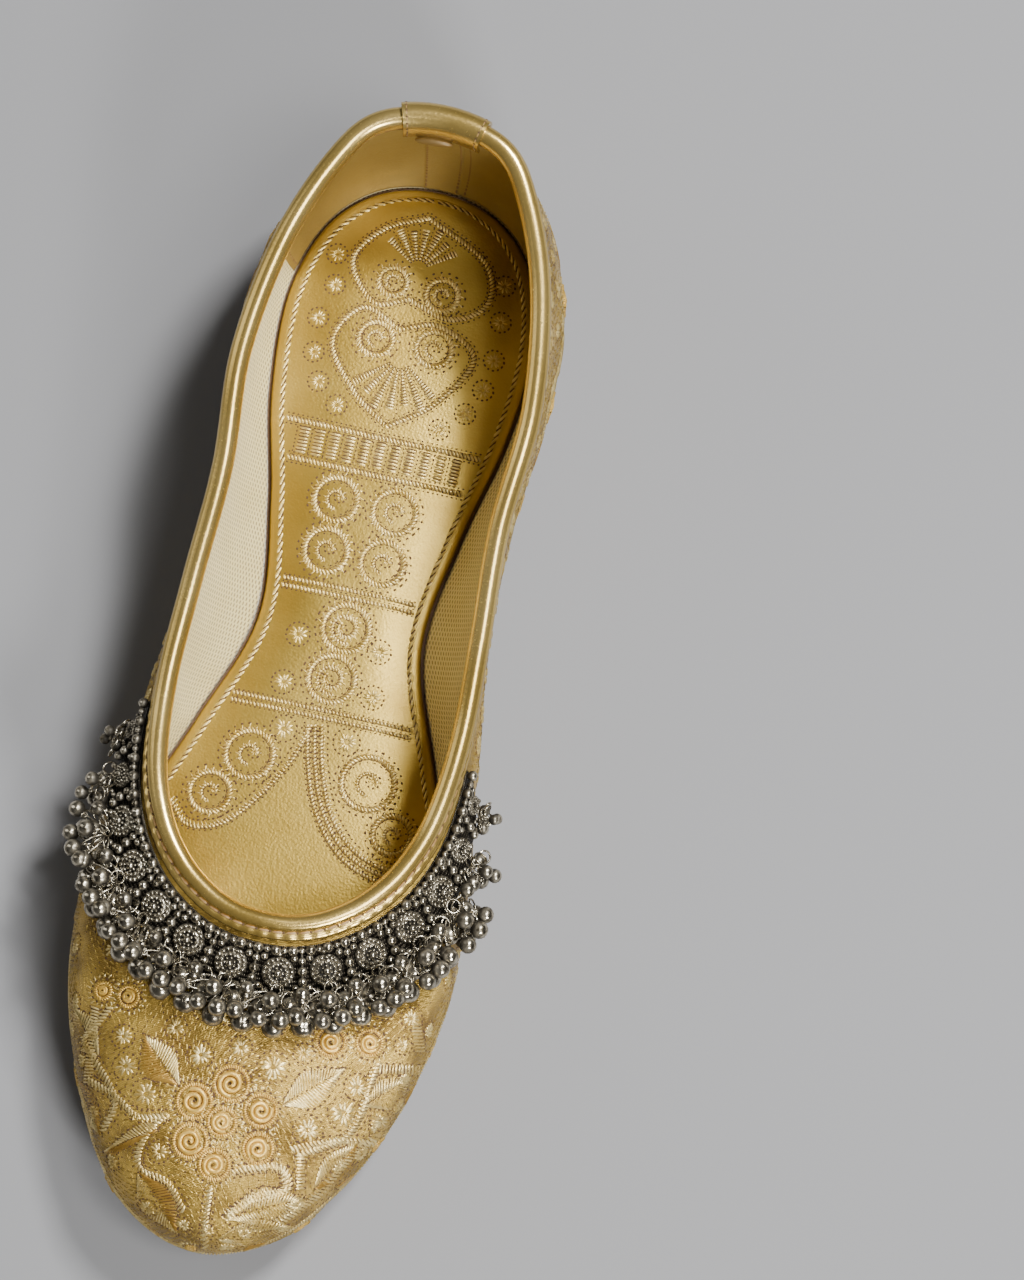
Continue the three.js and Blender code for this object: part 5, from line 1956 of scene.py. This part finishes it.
def add_vamp_needlework():
    shade_marks, bright, antique, petals, ground = sewing_box(vamp_chart)
    hearts = Mould()
    for x, along, radius in VAMP_ROSES:
        add_rose(hearts, petals, bright, shade_marks, np.array((x, along)), radius)
    for x, along, radius in VAMP_STARS:
        star(bright, shade_marks, np.array((x, along)), radius)
    for base, tip, belly, other_belly, two_tone in VAMP_LEAVES:
        leaf(bright, shade_marks, base, tip, belly, other_belly, antique if two_tone else bright)
    stems = [curve(*places) for places in VAMP_STEMS]
    for stem in stems:
        rope(bright, stem, width=1.4)
        hairs(bright, stem, turned=1, length=1.2, pitch=0.9)
        shade_beside(shade_marks, stem, 1.25)
    for start, end, other_start, other_end in VAMP_BARS:
        satin(bright, np.array((start, end)), np.array((other_start, other_end)))
        painted_shade(shade_marks, np.array((start, end)))
        painted_shade(shade_marks, np.array((other_start, other_end)))
    taken = stems + [np.array(places) for *places, _ in VAMP_LEAVES]
    taken += [coil((x, along), radius * 0.7, steps=9) for x, along, radius in VAMP_ROSES + VAMP_STARS]
    strew_stars(bright, shade_marks, np.vstack(taken), *VAMP_STAR_FIELD, inside_vamp,
                spacing=5.5, clearance=4.1, radius=2.0)
    ground_stitches(ground, *VAMP_FIELD, inside_vamp)
    hearts.cast("vamp_rose_hearts", rose_silk, "brocade")
    petals.sew("vamp_roses", rose_silk, "brocade")
    bright.sew("vamp_needlework", champagne_silk, "brocade")
    antique.sew("vamp_shaded_leaves", antique_silk, "brocade")
    ground.sew("vamp_ground_stitches", ground_silk, "brocade")
    # Painted shade: dots at the needle holes and shadow bands under the needlework.
    shade_marks.sew("vamp_painted_shade", shade_thread, "brocade")


add_vamp_needlework()


# Needlework of the whole wall, on the strip: a waving vine with leaves and roses, and seed flowers between.
# At the front, where the wall is lower, the vine sinks towards the hem and everything on it is smaller.

VINE_WAVES = 2 * round(strip_lengths[-1] / 46)
VINE_PITCH = 2 * strip_lengths[-1] / VINE_WAVES
VINE_ABOVE_HEM, VINE_ABOVE_TOE_HEM = 20, 11.5
VINE_SWING, VINE_TOE_SWING = 7, 3.4
VINE_SINKS = (100, 165)
TOE_SHARE = 0.62
SIDE_ROSE = 3.7
ROSE_OFF_VINE = 7.6
SIDE_LEAF = 11.5
LEAF_BELLY = 3.0
LEAF_WAY = (0.82, 0.57)
LEAF_STEM = 0.17  # place of a leaf's stem beside a bend, in pitches of the vine
HEM_SEAM = 3.2
STAR_SPACING = 8.2
STAR_CLEARANCE = 4.6
# How far the motifs keep clear of the binding, the hem and the trim, and where the vamp's needlework takes
# over: in front of this length, and this high above the hem
COLLAR_CLEARANCE = 6
HEM_CLEARANCE = 6
TRIM_CLEARANCE = 3
TRIM_DEPTH = 24
VAMP_FROM = 208
VAMP_ABOVE_HEM = 24
WALL_FIELD = (6, 120)
WALL_STAR_FIELD = (8.5, 110)
trim_end = np.interp(np.interp(CHAIN_END, TRIM_LENGTHS, TRIM_LOOPS), strip_loops, strip_lengths)


def hem_below(x):
    return np.interp(x, strip_lengths, strip_depths)


def frontness(x):
    """0 on the sides and back, 1 round the toe."""
    return smooth((np.abs(x) - VINE_SINKS[0]) / (VINE_SINKS[1] - VINE_SINKS[0]))


def on_vine(x):
    x = np.asarray(x, float)
    front = frontness(x)
    middle = VINE_ABOVE_HEM + (VINE_ABOVE_TOE_HEM - VINE_ABOVE_HEM) * front
    swing = VINE_SWING + (VINE_TOE_SWING - VINE_SWING) * front
    return np.stack([x, hem_below(x) - middle + swing * np.cos(TURN * x / VINE_PITCH)], -1)


def on_open_wall(places):
    """Which places of the strip are clear of the binding, the trim, the vamp and the hem."""
    x, down = np.abs(places[..., 0]), places[..., 1]
    height = hem_below(places[..., 0]) - down
    between = (down > COLLAR_CLEARANCE) & (height > HEM_CLEARANCE)
    off_trim = (x < trim_end - TRIM_CLEARANCE) | (down > TRIM_DEPTH)
    off_vamp = (x < VAMP_FROM) | (height < VAMP_ABOVE_HEM)
    return between & off_trim & off_vamp


def add_side_needlework():
    shade_marks, bright, antique, petals, ground = sewing_box(strip_chart)
    hearts = Mould()
    whole_length = (-strip_lengths[-1], strip_lengths[-1])
    vine = on_vine(np.linspace(*whole_length, 1400))
    rope(bright, vine, width=1.4, pitch=0.8)
    shade_beside(shade_marks, vine, 1.2, pitch=1.6)
    back_seam = np.array([(0, 3.5), (0, hem_below(0) - HEM_SEAM - 1)])
    rope(antique, back_seam, width=2.4, lean=0.45, height=0.35)
    shade_beside(shade_marks, back_seam, 1.7)
    hem = np.stack([strip_lengths, strip_depths - HEM_SEAM], -1)
    twisted(bright, hem, pitch=2.2, spread=0.3)
    # A band of painted shadow under the hem's cord.
    bright.shadow_band(hem, 1.2)
    painted_shade(shade_marks, hem - np.array((0, 1.7)), pitch=1.9)
    taken = [vine]
    for k in range(-VINE_WAVES, VINE_WAVES):
        x = k * VINE_PITCH / 2
        size = 1 - (1 - TOE_SHARE) * frontness(x)
        bend = on_vine(x)
        inside = 1 if k % 2 else -1
        rose = bend + np.array((0, inside * ROSE_OFF_VINE * size))
        if on_open_wall(rose):
            add_rose(hearts, petals, bright, shade_marks, rose, SIDE_ROSE * size)
            taken.append(coil(rose, 3.0 * size, steps=8))
        for turned in (-1, 1):
            stem = on_vine(x + turned * VINE_PITCH * LEAF_STEM)
            direction = np.array((turned, inside)) * LEAF_WAY
            tip = stem + direction * SIDE_LEAF * size
            middle = (stem + tip) / 2
            swell = np.array((-direction[1], direction[0])) * LEAF_BELLY * size
            if on_open_wall(tip):
                leaf(bright, shade_marks, stem, tip, middle + swell, middle - swell,
                     antique if turned > 0 else bright, pitch=0.62)
                taken.append(np.array([middle, tip]))
    strew_stars(bright, shade_marks, np.vstack(taken), whole_length, WALL_STAR_FIELD, on_open_wall,
                STAR_SPACING, STAR_CLEARANCE, radius=2.2)
    ground_stitches(ground, whole_length, WALL_FIELD, on_open_wall)
    hearts.cast("side_rose_hearts", rose_silk, "brocade")
    petals.sew("side_roses", rose_silk, "brocade")
    bright.sew("side_needlework", champagne_silk, "brocade")
    antique.sew("side_shaded_leaves", antique_silk, "brocade")
    ground.sew("side_ground_stitches", ground_silk, "brocade")
    # Painted shade: dots at the needle holes and shadow bands under the needlework.
    shade_marks.sew("side_painted_shade", shade_thread, "brocade")


add_side_needlework()


# Stitched channel of the sole, seen from underneath

SOLE_SEAM_INSET = 5
SOLE_STITCH = 3.4


def add_sole_seam():
    outline = foot_outline(SOLE_MARGIN - SOLE_SEAM_INSET)
    along = HEEL_CENTRE - outline[:, 1]
    path = np.column_stack([outline, sole_bottom(along)])
    path = path[along > HEEL_LIFT_BACK + HEEL_LIFT_LENGTH + 3]
    start = np.argmax(np.linalg.norm(np.diff(path, axis=0), axis=1)) + 1
    path = np.roll(path, -start, axis=0) if start < len(path) - 1 else path
    dots = evenly(path, SOLE_STITCH)
    down = np.broadcast_to((0.0, 0.0, -1.0), dots.shape)
    seam, channel_shade = Mould(), Mould()
    # A dark band of painted shade in the channel, under the stitches.
    add_seam(channel_shade, dots, down, width=1.5, height=0.03, filled=1.0)
    add_seam(seam, dots, down, width=0.75, height=0.05, filled=0.82)
    channel_shade.cast("sole_channel_shade", shade_thread, "sole_leather")
    seam.cast("sole_seam", seam_thread, "sole_leather")


add_sole_seam()
